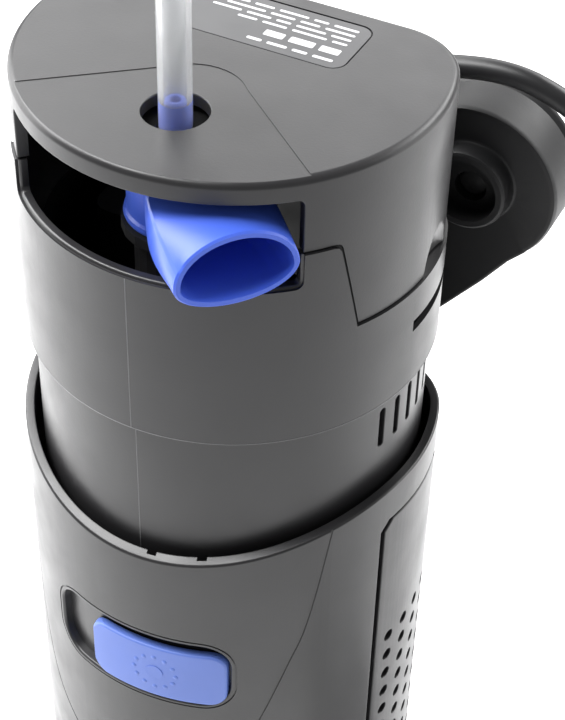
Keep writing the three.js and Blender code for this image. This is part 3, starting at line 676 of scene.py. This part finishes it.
def make_pin(side, word):
    x, y = PLUG_X + side * 9.3, PLUG_FROM - 35.3
    profile = [(0, y), (2, y), (2, y - 17), (1.9, y - 17.8), (1.5, y - 18.6), (0.9, y - 19), (0, y - 19)]
    pin = smooth(turned_y(profile, x, PLUG_Z, 32), 50)
    return finish_piece(pin, f"{word}_pin", "canister", "pin_brass", f"plug_pin_{word}")


def make_lead(plug_pieces):
    """The mains lead, from inside its strain relief to the floor, through the coil and into the plug."""
    into_relief = RELIEF_TO - (RELIEF_TO - RELIEF_FROM).normalized() * 3
    route = curve_through([into_relief] + LEAD_ROUTE, 1.6) + [Vector(p) for p in coil_route()]
    route += curve_through(TAIL_ROUTE, 3)
    lead = smooth(tube_along(route, CABLE_R, 16), 60)
    finish_piece(lead, "mains_lead", None, "lead", "power_cable", "cable_coil", "cable_tail")
    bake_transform(lead)


def make_coil_tie():
    """A thin strap looped round the coil's bundle of turns."""
    inner, outer, top = COIL_INNER - CABLE_R, COIL_OUTER + CABLE_R, LAYER_HIGH + CABLE_R
    loop = along_y(rounded_box(-outer - 0.7, 0.02, -inner + 0.7, top + 0.6, 1.6), -3, 3)
    hole = along_y(rounded_box(-outer - 0.1, 0.25, -inner + 0.1, top + 0.1, 1.1), -4, 4)
    tie = spun(soften(cut(loop, hole), 0.08), 20)
    move(tie, Matrix.Translation((COIL_CENTRE[0] * MM, COIL_CENTRE[1] * MM, 0)))
    extra_piece(tie, "coil_tie", "canister", "black_rubber")


def make_valve():
    foot = HOSE_FROM + HOSE_LENGTH + 0.3
    profile = [
        (0, -6), (1.4, -6), (1.9, -4.6), (1.7, -4.2), (1.7, 0), (4.4, 0), (5, 0.5), (5.3, 1.4), (5.3, 3),
        (4.9, 3.4), (4.9, 4.2), (5.3, 4.6), (5.3, 11.6), (4.9, 12.6), (4, 13.4), (2, 13.5), (2, 17),
        (0, 17),
    ]
    body = smooth(turned([(r, foot + z) for r, z in profile], SWIVEL_Y, 40))
    finish_piece(body, "air_valve", "head", "housing", "air_valve_body")
    low = foot + 13.8
    levels = [(0.4, 0), (0, 0.4), (0, 5.6), (0.5, 6.5), (1.3, 6.95)]
    rings = [valve_knob_ring(inset, low + z) for inset, z in levels]
    bore = turned([(0, low - 1), (2.3, low - 1), (2.3, low + 5), (0, low + 5)], SWIVEL_Y, 32)
    mark = box(-0.5, 0.5, SWIVEL_Y - 4, SWIVEL_Y - 1, low + 6.6, low + 7.0)
    knob = smooth(joined(cut(stack(rings), bore), mark), 30)
    finish_piece(knob, "air_valve_dial", "valve_knob", "blue_plastic", "air_valve_knob")
    return [body, knob]


def valve_knob_ring(inset, z):
    """A ring of the knob, with twelve grips that fade on its top."""
    points = 96
    grip = 0.4 if inset < 1 else 0.12
    ring = []
    for k in range(points):
        a = 2 * math.pi * k / points
        r = 5.1 - inset + grip * math.cos(12 * a)
        ring.append((r * math.cos(a), SWIVEL_Y + r * math.sin(a), z))
    return ring


def make_hose(valve_pieces):
    steps = 16
    line = [Vector((0, SWIVEL_Y, HOSE_FROM + HOSE_LENGTH * i / steps)) for i in range(steps + 1)]
    hose = smooth(tube_along(line, HOSE_R, 48, HOSE_BORE), 50)
    finish_piece(hose, "clear_air_hose", "head", "clear_hose", "air_hose")


# ---------- pump head ----------
def step_line(gap):
    """The stepped parting line, high in front and low behind, moved up by gap."""
    aside = gap * STEP_OPENING
    high, low = STEP_HIGH + gap, STEP_LOW + gap
    front, back = STEP_FRONT_Y + aside, STEP_BACK_Y + aside
    return [
        (-FAR, high), (front - 1, high), (front - 0.2, high - 0.3), (front + 0.2, high - 1.1),
        (back, low), (FAR, low),
    ]


def above_parting(gap):
    """All the space from gap above the parting line."""
    top = HEAD_TOP + 20
    return along_x([(-FAR, top)] + step_line(gap) + [(FAR, top)], -FAR, FAR)


def below_parting(gap):
    """All the space from gap below the parting line."""
    bottom = NECK_Z - 100
    return along_x([(-FAR, bottom), (FAR, bottom)] + step_line(-gap)[::-1], -FAR, FAR)


def front_window(half_angle, z0, z1, corner, lip):
    """A cutter through the front of the head, which leaves a rounded lip."""
    half = HEAD_R * math.radians(half_angle)

    def outline(grow):
        return rounded_box(-half - grow, z0 - grow, half + grow, z1 + grow, corner + grow)

    return wrapped(outline, flared(20, HEAD_R - COVER_DRAFT, lip), HEAD_R)


def scoop(side, extra):
    """The hollow of a finger recess, or with extra the wall behind it."""
    x, y = SCOOP_AT
    return ball((side * x, y, STEP_LOW - 2), [r + extra for r in SCOOP_RADII], 32)


def gland_opening():
    return box(-9, 9, 15, 40, NECK_Z, NECK_Z + 48)


def make_cover():
    """The top cover, with a shallow sector pressed into its top round the hose's hole."""
    radius, back = HEAD_R - COVER_DRAFT, HEAD_BACK - COVER_DRAFT
    path = [(WALL, HEAD_TOP - 2.5), (WALL, NECK_Z + 10), (0, NECK_Z + 10)] + fillet(HEAD_TOP, 1.4, steps=6)
    cover = walled(radius, back, path)
    for side in (-1, 1):
        inside = walled(radius, back, [(0.6, NECK_Z), (0.6, HEAD_TOP - 3)])
        cover = cut(joined(cover, common(scoop(side, 1.6), inside)), scoop(side, 0))
    hose_hole = [(6 + grow, z) for z, grow in flared(HEAD_TOP - 5, HEAD_TOP, 0.5)]
    sector = arc(0, -16, 10, 141.5, 38.5, 12) + [(48, -42.9), (-48, -42.9)]
    plate_recess = rounded_box(-PLATE_HALF, PLATE_FRONT, PLATE_HALF, PLATE_REAR, 3)
    cover = cut(
        cover,
        below_parting(-PARTING_GAP),
        front_window(WINDOW_HALF, NECK_Z, WINDOW_TOP, 1.2, 0.3),
        gland_opening(),
        prism(plate_recess, HEAD_TOP - 0.6, HEAD_TOP + 5),
        prism(sector, HEAD_TOP - 0.12, HEAD_TOP + 5),
        turned(hose_hole, SWIVEL_Y),
    )
    smooth(cover, 28)
    finish_piece(settle_normals(cover), "pump_cover", "cover", "housing", "top_cover")


def make_plate():
    half, front, rear = PLATE_HALF - 0.3, PLATE_FRONT + 0.3, PLATE_REAR - 0.3
    plate = prism(rounded_box(-half, front, half, rear, 2.7), HEAD_TOP - 0.55, HEAD_TOP - 0.06)
    plate = settle_normals(soften(plate, 0.12))
    finish_piece(plate, "label_plate", "cover", "rating_plate", "rating_plate")


# The middle, half height and bar widths of each row.
LABEL_ROWS = [
    (16.7, 0.33, (5, 3, 6, 4, 7)), (15, 0.33, (6, 4, 5, 8)), (13.3, 0.33, (4, 6, 3, 5, 6)),
    (11.6, 0.33, (3, 7, 5, 4)), (8.6, 0.95, (4, 5, 4)), (5.6, 0.4, (4, 3, 4, 3)),
]


def make_label_marks():
    """Generic bars in place of the rating plate's text."""
    bars = []
    for y, half, widths in LABEL_ROWS:
        x = 16.8
        for width in widths:
            bar = rounded_box(x - width, y - half, x, y + half, 0.3, 3)
            bars.append(prism(bar, HEAD_TOP - 0.08, HEAD_TOP - 0.03))
            x -= width + 1.1
    extra_piece(merged(bars), "label_marks", "cover", "ink")


def neck_slot(grow):
    half = NECK_SLOT_HALF + grow
    return rounded_box(-half, NECK_SLOT_BOTTOM - grow, half, NECK_SLOT_TOP + grow, half - 0.02, 5)


def head_sleeve(outer, inner, foot, top):
    """A sleeve inside the head, between two distances in from its outside."""
    return walled(HEAD_R, HEAD_BACK, [(outer, foot), (outer, top), (inner, top), (inner, foot)], loop=True)


def make_parting_line_shadow():
    """A thin black strip in the gap between the cover and the housing: painted shadow, which shows as a
    dark line.
    """
    half = PARTING_GAP * 0.8
    black_and_painted_shadow = cut(
        head_sleeve(0.6, WALL - 0.2, NECK_Z + 20, HOUSING_TOP),
        below_parting(half),
        above_parting(half),
        front_window(WINDOW_HALF + 0.5, NECK_Z, HEAD_TOP, 1, 0.3),
        scoop(-1, 0.4),
        scoop(1, 0.4),
        gland_opening(),
    )
    extra_piece(smooth(black_and_painted_shadow), "parting_line_shadow", "head", "black_and_painted_shadow")


def make_inner_shade_sleeve():
    """A dark sleeve inside the housing, behind the vents and the neck's slots: painted shade where the
    inside of the head is dark.
    """
    shade_sleeve = head_sleeve(3.9, 4.5, NECK_Z - 15, NECK_Z + 20)
    extra_piece(smooth(shade_sleeve), "inner_shade_sleeve", "head", "black_and_painted_shadow")


def make_spigot_washer():
    """A black washer round the air nipple, just under the hole in the cover."""
    z = NECK_Z + 53.3
    profile = [(3.3, z), (9, z), (9.4, z + 0.4), (9.4, z + 1), (9, z + 1.3), (3.6, z + 1.3), (3.3, z + 1)]
    washer = turned(profile, SWIVEL_Y, loop=True)
    extra_piece(smooth(washer), "spigot_washer", "head", "black_and_painted_shadow")


def make_flash_lines_with_painted_highlight():
    """The thin raised lines that the mould leaves down the front and round the lower edge, in a lighter
    grey that is a painted highlight.
    """
    section = [(0.5, 0.1), (0.58, -0.04), (0.72, -0.04), (0.8, 0.1)]
    lines = []
    for radius, low, high in [(HEAD_R, NECK_Z + 0.6, SILL_Z - 0.7),
                              (HEAD_R - NECK_INSET, NECK_FOOT + 1, NECK_Z - 0.2)]:
        lines.append(prism([(x, -math.sqrt(radius ** 2 - x * x) + y) for x, y in section], low, high))
    edge = [(0.2, NECK_Z + 0.25), (-0.03, NECK_Z + 0.3), (-0.03, NECK_Z + 0.42), (0.2, NECK_Z + 0.5)]
    lines.append(walled(HEAD_R, HEAD_BACK, edge, loop=True))
    extra_piece(smooth(merged(lines), 60), "mould_lines_painted_highlight", "head", "flash_and_painted_highlight")


def make_shell():
    """The housing: the neck, a small step out at its top, and the wall up to behind the cover."""
    path = [
        (NECK_INSET + 2, NECK_FOOT), (NECK_INSET + 0.3, NECK_FOOT), (NECK_INSET, NECK_FOOT + 0.3),
        (NECK_INSET, NECK_Z - 0.1), (0.55, NECK_Z), (0.2, NECK_Z + 0.15), (0, NECK_Z + 0.55),
        (0, HOUSING_TOP), (WALL, HOUSING_TOP), (WALL, NECK_Z + 2), (NECK_INSET + 2, NECK_Z + 2),
    ]
    shell = walled(HEAD_R, HEAD_BACK, path, loop=True)
    shell = joined(shell, box(-8, 8, HEAD_BACK - 3, HEAD_BACK - 0.2, NECK_Z + 18, NECK_Z + 47))
    vent = side_vent()
    tools = [
        above_parting(-PARTING_GAP),
        front_window(WINDOW_HALF - 0.6, SILL_Z, HEAD_TOP, 1, 0.6),
        mirrored(copy_of(vent)),
        vent,
    ]
    for side in (-1, 1):
        for i in range(NECK_SLOTS):
            slot = wrapped(neck_slot, flared(30, HEAD_R - NECK_INSET, 0.2), 40)
            tools.append(spun(slot, side * (NECK_SLOT_FIRST + NECK_SLOT_PITCH * i)))
    shell = smooth(cut(shell, *tools), 28)
    finish_piece(settle_normals(shell), "pump_housing", "head", "housing", "head_shell")


def side_vent():
    """A narrow opening in the side of the housing that grows taller inside the wall."""
    inside = common(
        box(0, 60, VENT_FRONT, VENT_REAR, NECK_Z + 8, VENT_TOP), tube(HEAD_R - 1, 30, NECK_Z, HEAD_TOP),
    )
    return joined(box(30, 60, VENT_FRONT, VENT_REAR, VENT_BOTTOM, VENT_TOP), inside)


# One stretch of the mouth for each side of the duct: from and to in degrees, and its points.
MOUTH_SPANS = [
    (-28, 19, 10), (19, 26, 5), (26, 154, 24), (154, 161, 5),
    (161, 208, 10), (208, 226, 4), (226, 314, 18), (314, 332, 4),
]


def mouth_point(degrees, grow):
    a = math.radians(degrees)
    height = 8.2 if math.sin(a) > 0 else 5.3
    return (11.4 + grow) * math.cos(a), MOUTH_Z + math.sin(a) * (height + grow)


def outlet_ring(t, grow):
    """The duct's section at t: from 0, a box with cut corners at its root, to 1, its round mouth."""
    half = 6.4 + 5 * (1 - (1 - t) ** 2.2) + grow
    low, high = NECK_Z + 37.4 - grow, NECK_Z + 52.4 + grow
    chamfer = 0.25 + 4.6 * max(0.0, 1 - t / 0.42)
    top = half - chamfer * 0.9
    corners = [
        (half, low + 2), (half, high - chamfer), (top, high), (-top, high),
        (-half, high - chamfer), (-half, low + 2), (2 - half, low), (half - 2, low),
    ]
    flare = t ** 1.5
    ring = []
    for (ax, az), (bx, bz), (start, end, steps) in zip(corners, corners[1:] + corners[:1], MOUTH_SPANS):
        for i in range(steps):
            part = i / steps
            mouth_x, mouth_z = mouth_point(start + (end - start) * part, grow)
            x, z = ax + (bx - ax) * part, az + (bz - az) * part
            x, z = x + (mouth_x - x) * flare, z + (mouth_z - z) * flare
            ring.append((x, SWIVEL_Y - 2 - 26 * t + MOUTH_LEAN * (z - MOUTH_Z) * t, z))
    return ring


def outlet_rings(grow):
    steps = 14
    return [outlet_ring(i / steps, grow) for i in range(steps + 1)]


def make_outlet():
    """The hub on the swivel axis and the duct, hollow from the hub's bore to the mouth."""
    edge = 0.35
    rim = [(x, y - edge, z) for x, y, z in outlet_ring(1, -edge)]
    flow = outlet_rings(-1.15)
    into_hub = [(x * 0.8, y + 4, z) for x, y, z in flow[0]]
    past_mouth = [(x, y - 6, z) for x, y, z in flow[-1]]
    foot, top = NECK_Z + 36.9, NECK_Z + 53
    profile = [
        (8.9, foot), (9.5, foot + 0.3), (9.7, foot + 0.9), (9.55, foot + 1.6), (9.1, foot + 2),
        (9.1, top - 1.2), (8.6, top - 0.3), (7.8, top),
    ]
    hub = turned(profile, SWIVEL_Y, 96)
    bore = turned([(8.4, foot - 1), (8.4, top - 2)], SWIVEL_Y)
    hole = turned([(3.2, top - 5), (3.2, top + 5)], SWIVEL_Y)
    outlet = joined(stack(outlet_rings(0) + [rim]), hub)
    outlet = cut(outlet, bore, stack([into_hub] + flow + [past_mouth]), hole)
    outlet = smooth(spun(outlet, REST_HEADING, SWIVEL_Y), 30)
    finish_piece(settle_normals(outlet), "water_outlet", "outlet", "blue_plastic", "outlet_nozzle")


def make_spigot():
    """The nipple that the hose is pushed onto. Below the hose it has a collar and three ribs."""
    profile = [
        (1.1, 45), (2.7, 45), (2.9, 45.3), (2.9, 49.4), (4.5, 49.4), (4.6, 49.6), (4.6, 50.4), (4.5, 50.6),
        (3, 50.6), (2.9, 50.9), (2.9, 54.4), (2.6, 54.7), (2.16, 54.8), (2.16, 60), (2, 60.6), (1.6, 60.9),
        (1.1, 60.9), (0.95, 60.7), (0.95, 50), (1.1, 49.5),
    ]
    spigot = turned([(r, NECK_Z + z) for r, z in profile], SWIVEL_Y, loop=True)
    ribs = []
    for i in range(3):
        rib = box(-0.45, 0.45, SWIVEL_Y - 3.2, SWIVEL_Y - 2.4, NECK_Z + 51, NECK_Z + 54.2)
        ribs.append(spun(rib, 120 * i + 30, SWIVEL_Y))
    spigot = smooth(joined(spigot, *ribs), 30)
    finish_piece(settle_normals(spigot), "air_nipple", "outlet", "blue_plastic", "air_spigot")


# ---------- canister ----------
def rim_height(y):
    """The height of the rim, which dips towards the front."""
    ahead = max(0.0, -y - RIM_DIP_START)
    return RIM_SIDE - RIM_DIP * (ahead / (CANISTER_R - RIM_DIP_START)) ** 2


def front_band(outline, inner, outer):
    """An outline in X and Z, as a curved plate round the canister's front."""
    return common(along_y(outline, -60, -20), tube(outer, inner, 100, NECK_Z))


def slot_outline(grow):
    half = SLOT_HALF + grow
    return rounded_box(-half, SLOT_BOTTOM - grow, half, SLOT_TOP + grow, 6.2 + grow, 9)


def side_outline(front, back, above, below):
    """The outline of a side opening, each side moved out by its own amount. The front is on the left."""
    x0, x1, z0, z1 = -DOOR_HALF - front, DOOR_HALF + back, DOOR_BOTTOM - below, DOOR_TOP + above
    return [(x0, z0), (x1, z0), (x1, z1 - 2.4), (x1 - 2.4, z1), (x0 + 2.4, z1), (x0, z1 - 2.4)]


def side_cutter(front, back, above, below, levels):
    """A cutter for the right side, made at the front and turned there."""
    def outline(grow):
        return side_outline(front + grow, back + grow, above + grow, below + grow)

    return spun(wrapped(outline, levels, CANISTER_R), 90)


# Degrees right of the front, and heights from the head's lower edge.
STYLE_LINE = [
    (55.2, -24), (53.1, -33), (51.2, -41), (48.9, -49.4), (46.9, -55), (44.2, -60.5), (40.2, -69.3),
    (36.1, -78), (31, -87.5), (24, -97), (14, -104.5), (2, -108.5), (-12, -107), (-25, -100.4),
    (-35.4, -92.7), (-42, -82.7), (-46.5, -72), (-49.5, -62), (-52, -50), (-54, -38), (-55.5, -24),
]


def style_groove():
    """A fine line that comes down from both sides of the rim and meets under the slider."""
    line = []
    for degrees, drop, _ in curve_through([(a, z, 0) for a, z in STYLE_LINE], 1.5):
        a = math.radians(degrees)
        line.append(Vector((CANISTER_R * math.sin(a), -CANISTER_R * math.cos(a), NECK_Z + drop)))
    return tube_along(line, 0.2, 8)


def canister_wall():
    """The wall's rings: rounded at the foot, and at the top rounded and dipping with the rim."""
    def outline(inset):
        return body_outline(CANISTER_R, CANISTER_BACK, inset, CANISTER_CORNER)

    rings = []
    for inset, z in fillet(0, 1.5, upwards=False):
        rings.append([(x, y, z) for x, y in outline(inset)])
    for inset, drop in fillet(0, 0.45) + [(1.7, 0), (1.9, -0.08), (2, -0.3)]:
        rings.append([(x, y, rim_height(y) + drop) for x, y in outline(inset)])
    rings.append([(x, y, 3) for x, y in outline(2)])
    return rings


def slot_groove():
    """A fine line engraved round the slider's slot, which leaves a bead between them."""
    outside = wrapped(slot_outline, [(CANISTER_R - 0.25, 1.3), (CANISTER_R + 3, 1.3)], CANISTER_R)
    inside = wrapped(slot_outline, [(CANISTER_R - 1, 0.95), (CANISTER_R + 4, 0.95)], CANISTER_R)
    return cut(outside, inside)


def rim_notches():
    return [spun(box(-1, 1, NOTCH_WALL - CANISTER_R, -38, NECK_Z - 33.5, NECK_Z - 20), angle)
            for angle in NOTCH_ANGLES]


def make_canister():
    """The wall, its floor, the hanger's rail behind it and the slider's slot in front."""
    body = stack(canister_wall(), loop=True)
    floor = walled(CANISTER_R, CANISTER_BACK, [(1.5, 0.5), (1.5, 3)], CANISTER_CORNER)
    pad = front_band(slot_outline(2), CANISTER_R - 4.2, CANISTER_R - 1.5)
    rail = joined(box(-4, 4, CANISTER_BACK - 1, 31, 30, 210), soften(box(-8, 8, 30, 32.5, 30, 210), 0.3))
    body = joined(body, floor, pad, rail)
    slot = wrapped(slot_outline, flared(CANISTER_R - SLOT_DEPTH, CANISTER_R, 0.6, 6), CANISTER_R)
    middle = (SLOT_BOTTOM + SLIDER_TOP) / 2
    track = along_y(rounded_box(-8.5, middle - 2.2, 8.5, middle + 2.2, 2), -50, -30)
    opening = side_cutter(0, 0, 0, 0, flared(20, CANISTER_R, 0.35))
    tools = [slot, track, slot_groove(), mirrored(copy_of(opening)), opening, style_groove()]
    body = smooth(cut(body, *tools, *rim_notches()), 32)
    finish_piece(settle_normals(body), "canister_shell", "canister", "housing", "canister_body")


def make_slider():
    """A curved plate with a button in a ring of twelve dots."""
    outline = rounded_box(-SLIDER_HALF, SLIDER_BOTTOM, SLIDER_HALF, SLIDER_TOP, 3.6, 8)
    plate = soften(front_band(outline, CANISTER_R - SLOT_DEPTH + 0.3, CANISTER_R + 0.4), 0.5, 4)
    middle = (SLIDER_BOTTOM + SLIDER_TOP) / 2
    dots = [turned_y([(1.9, -CANISTER_R - 0.52), (1.9, -CANISTER_R + 0.5)], 0, middle, 32)]
    for i in range(12):
        a = math.radians(30 * i)
        x, z = 4.6 * math.cos(a), middle + 4.6 * math.sin(a)
        y = -math.sqrt((CANISTER_R + 0.4) ** 2 - x * x)
        dots.append(turned_y([(0, y - 0.2), (0.35, y - 0.16), (0.6, y), (0.6, y + 0.5)], x, z, 16))
    plate = spun(smooth(joined(plate, *dots), 30), SLIDER_REST)
    finish_piece(settle_normals(plate), "lamp_slider", "slider", "pale_blue_plastic", "uv_slider")


def make_door(side, word):
    """A cover with rounded edges in the canister's side, and its grid of holes."""
    r, edge = CANISTER_R, 0.35
    levels = [(20, 0), (r - edge, 0), (r - 0.1, -0.12), (r + 0.01, -edge), (60, -edge)]
    door = common(side_cutter(-1.15, -0.45, -0.55, -0.45, levels), tube(r, r - 2, 0, NECK_Z))
    holes = []
    for angle in HOLE_ANGLES:
        for row in range(HOLE_ROWS):
            z = FIRST_HOLE_Z - row * HOLE_PITCH
            profile = [(HOLE_R + grow, -level) for level, grow in flared(38, CANISTER_R, 0.25, 2)]
            holes.append(spun(turned_y(profile, 0, z, 18), angle))
    door = smooth(cut(door, merged(holes)), 32)
    if side < 0:
        door = mirrored(door)
    body = f"{word}_cartridge"
    finish_piece(settle_normals(door), f"{word}_side_cover", body, "housing", f"{word}_cartridge_door")


def make_sponge(side, word):
    """Open-cell foam: a block with soft edges and pores pushed into every face."""
    longest_edge, large_pore, small_pore, depth = 2.2, 3.1, 1.4, 0.9
    block = box(*SPONGE_X, *SPONGE_Y, *SPONGE_Z)
    shape = bmesh.new()
    shape.from_mesh(block.data)
    bmesh.ops.bevel(shape, geom=shape.edges[:], offset=1.2 * MM, segments=2, affect="EDGES")
    bmesh.ops.triangulate(shape, faces=shape.faces[:])
    for _ in range(9):
        long_edges = [e for e in shape.edges if e.calc_length() > longest_edge * MM]
        if not long_edges:
            break
        bmesh.ops.subdivide_edges(shape, edges=long_edges, cuts=1)
        bmesh.ops.triangulate(shape, faces=shape.faces[:])
    shape.normal_update()
    for vertex in shape.verts:
        large, small = vertex.co / (large_pore * MM), vertex.co / (small_pore * MM)
        pore = noise.noise(large) + 0.6 * noise.noise(small)
        vertex.co += vertex.normal * min(0.0, pore - 0.15) * depth * MM
    shape.to_mesh(block.data)
    shape.free()
    if side < 0:
        block = mirrored(block)
    smooth(block, 80)
    finish_piece(block, f"{word}_foam", f"{word}_cartridge", "sponge", f"{word}_sponge")


# ---------- hanger ----------
def lobe_sites():
    return [
        ("upper_left", -LOBE_X, UPPER_LOBE_Z), ("upper_right", LOBE_X, UPPER_LOBE_Z),
        ("lower_left", -LOBE_X, LOWER_LOBE_Z), ("lower_right", LOBE_X, LOWER_LOBE_Z),
    ]


def hanger_plate(z, shoulder):
    """The plate between two lobes and the spine, with a hollow curve under each lobe."""
    tail = [
        (LOBE_X + 13.4, z - 12), (LOBE_X + 9.6, z - 16), (LOBE_X + 4.4, z - 19.6 - shoulder * 0.06),
        (LOBE_X - 3, z - 24 - shoulder * 0.14), (LOBE_X - 12, z - 24 - shoulder * 0.32), (11, z - shoulder),
    ]
    outline = tail + [(-x, h) for x, h in reversed(tail)] + [(-LOBE_X, z + 8), (LOBE_X, z + 8)]
    return along_y(outline, LOBE_FACE, LOBE_FACE + LOBE_PLATE)


def lobe_rim(x, z):
    """A shallow dish that opens to the back, with rounded edges."""
    face, back, inner = LOBE_FACE, LOBE_FACE + LOBE_DEPTH, LOBE_R - LOBE_WALL
    profile = [
        (0, face), (LOBE_R - 1.2, face), (LOBE_R - 0.4, face + 0.3), (LOBE_R, face + 1.1),
        (LOBE_R, back - 0.5), (LOBE_R - 0.5, back), (inner + 0.5, back), (inner, back - 0.5),
        (inner, face + LOBE_PLATE), (0, face + LOBE_PLATE),
    ]
    return turned_y(profile, x, z, 96)


def lobe_boss(x, z):
    """The raised ring on a lobe's face, a little above its middle."""
    face, front = LOBE_FACE, LOBE_FACE - 4.5
    profile = [
        (7, front), (8.2, front), (8.7, front + 0.3), (8.9, front + 0.9), (8.9, face - 1),
        (9.2, face - 0.3), (9.9, face + 0.1), (9.9, face + 1), (7, face + 1),
    ]
    return turned_y(profile, x, z + 1.5, 80, loop=True)


def rail_guide(side, inner, outer, back):
    """A wall or a lip of the spine, which holds it on the canister's rail."""
    x0, x1 = sorted((side * inner, side * outer))
    return soften(box(x0, x1, 27, back, *SPINE_Z), 0.5)


def make_hanger():
    back = LOBE_FACE + LOBE_PLATE
    parts = [soften(box(-11, 11, 33.2, back, *SPINE_Z), 0.7, 3)]
    for side in (-1, 1):
        parts += [rail_guide(side, 8.5, 11, 34.5), rail_guide(side, 4.5, 10, 29.5)]
    for z, shoulder in ((UPPER_LOBE_Z, 60), (LOWER_LOBE_Z, 24)):
        parts.append(soften(hanger_plate(z, shoulder), 0.8, 3))
    parts.append(soften(box(-1, 1, back - 0.5, back + 2.5, 60, 205), 0.4))
    holes = []
    for _, x, z in lobe_sites():
        parts += [lobe_rim(x, z), lobe_boss(x, z)]
        holes.append(turned_y([(LOBE_R - LOBE_WALL, back), (LOBE_R - LOBE_WALL, 60)], x, z, 96))
        holes.append(turned_y([(3.4, LOBE_FACE - 9), (3.4, 60)], x, z, 40))
    hanger = smooth(cut(joined(*parts), *holes), 30)
    finish_piece(settle_normals(hanger), "glass_hanger", "hanger", "hanger_plastic", "hanger")


def make_cups():
    y, glass = LOBE_FACE + 2.8, GLASS_Y
    profile = [
        (0, y - 1.2), (2.7, y - 1.2), (3, y - 0.9), (3, y), (5, y + 0.1), (8.6, y + 0.4), (11.6, y + 2),
        (14.2, y + 5.4), (15.8, glass - 2), (17.3, glass - 0.9), (17.6, glass - 0.4), (17.5, glass),
        (15.4, glass), (13, glass - 1), (10, glass - 3), (6, glass - 4.6), (0, glass - 5.2),
    ]
    for name, x, z in lobe_sites():
        cup = smooth(turned_y(profile, x, z, 72), 50)
        finish_piece(cup, f"{name}_sucker", "hanger", "black_rubber", f"{name}_suction_cup")


def make_gland():
    gland = soften(box(-7, 4.3, HEAD_BACK + 0.1, 38.5, NECK_Z + 33, NECK_Z + 44), 1.2, 4)
    finish_piece(settle_normals(gland), "lead_gland", "head", "housing", "cable_gland")


def make_relief():
    """A ribbed sleeve that grows thinner along the lead."""
    ribs = 7
    line, radii = [], []
    for i in range(ribs):
        r = 4.2 - 1.5 * i / (ribs - 1)
        for t, inset in ((0, 0), (0.5, 0), (0.58, 0.25), (0.62, 0.8), (0.92, 0.85), (0.98, 0.35)):
            line.append(RELIEF_FROM + (RELIEF_TO - RELIEF_FROM) * ((i + t) / ribs))
            radii.append(max(r - inset, CABLE_R + 0.15))
    line.append(RELIEF_TO)
    radii.append(CABLE_R + 0.15)
    relief = smooth(tube_along(line, radii, 40), 35)
    finish_piece(relief, "lead_relief", "head", "lead", "strain_relief")


# ---------- studio ----------
# Name, place, the point it faces, width, height and watts. The floor boxes face straight down.
SOFT_BOXES = [
    ("back_box", (-0.15, 1.3, 0.95), (0, 0, 0.3), 2.2, 0.8, 18),
    ("left_box", (-0.95, 0.05, 0.5), (0, 0, 0.2), 0.9, 0.9, 11),
    ("right_box", (0.95, 0.6, 0.5), (0, 0, 0.2), 0.7, 0.9, 5),
    ("left_floor", (-0.45, 0.05, 0.65), (-0.45, 0.05, 0), 0.45, 0.5, 6.5),
    ("right_floor", (0.36, 0.55, 0.65), (0.36, 0.55, 0), 0.45, 0.5, 5),
    ("key", (-0.42, -0.3, 1.35), (0, 0, 0.25), 0.55, 0.55, 13),
]


def make_floor():
    size, z = 3000, -0.4
    corners = [(-size, -size, z), (size, -size, z), (size, size, z), (-size, size, z)]
    floor = solid("floor", corners, [(0, 1, 2, 3)])
    paper = Finish("paper", (0.93, 0.93, 0.93), 0.6)
    paper.vary_color(paper.noise(3, 2), (0.92, 0.92, 0.925), (0.95, 0.95, 0.95))
    paint(floor, "paper")


def make_studio():
    make_floor()
    world = bpy.data.worlds.new("studio")
    world.use_nodes = True
    background = world.node_tree.nodes["Background"]
    background.inputs["Color"].default_value = (1, 1, 1, 1)
    background.inputs["Strength"].default_value = 0.3
    bpy.context.scene.world = world
    for values in SOFT_BOXES:
        soft_box(*values)
    bpy.context.scene.view_settings.view_transform = "Standard"


def soft_box(name, at, towards, width, height, watts):
    light = bpy.data.lights.new(name, "AREA")
    light.shape = "RECTANGLE"
    light.size = width
    light.size_y = height
    light.energy = watts
    lamp = place(bpy.data.objects.new(name, light))
    lamp.location = at
    lamp.rotation_euler = (Vector(towards) - Vector(at)).to_track_quat("-Z", "Y").to_euler()


def paint_kept_nodes():
    """Gives every CAD node its slot's finish and smooth round faces."""
    for part in frame["record"]["subparts"]:
        node = frame["nodes"][part["node"]]
        paint(node, part["material_slot"])
        smooth(node)


make_camera()
paint_kept_nodes()
make_lead([make_plug(), make_pin(-1, "left"), make_pin(1, "right")])
make_coil_tie()
make_hose(make_valve())
make_cover()
make_plate()
make_label_marks()
make_shell()
make_parting_line_shadow()
make_inner_shade_sleeve()
make_spigot_washer()
make_flash_lines_with_painted_highlight()
make_outlet()
make_spigot()
make_canister()
make_slider()
for side, word in ((-1, "left"), (1, "right")):
    make_door(side, word)
    make_sponge(side, word)
make_hanger()
make_cups()
make_gland()
make_relief()
make_studio()
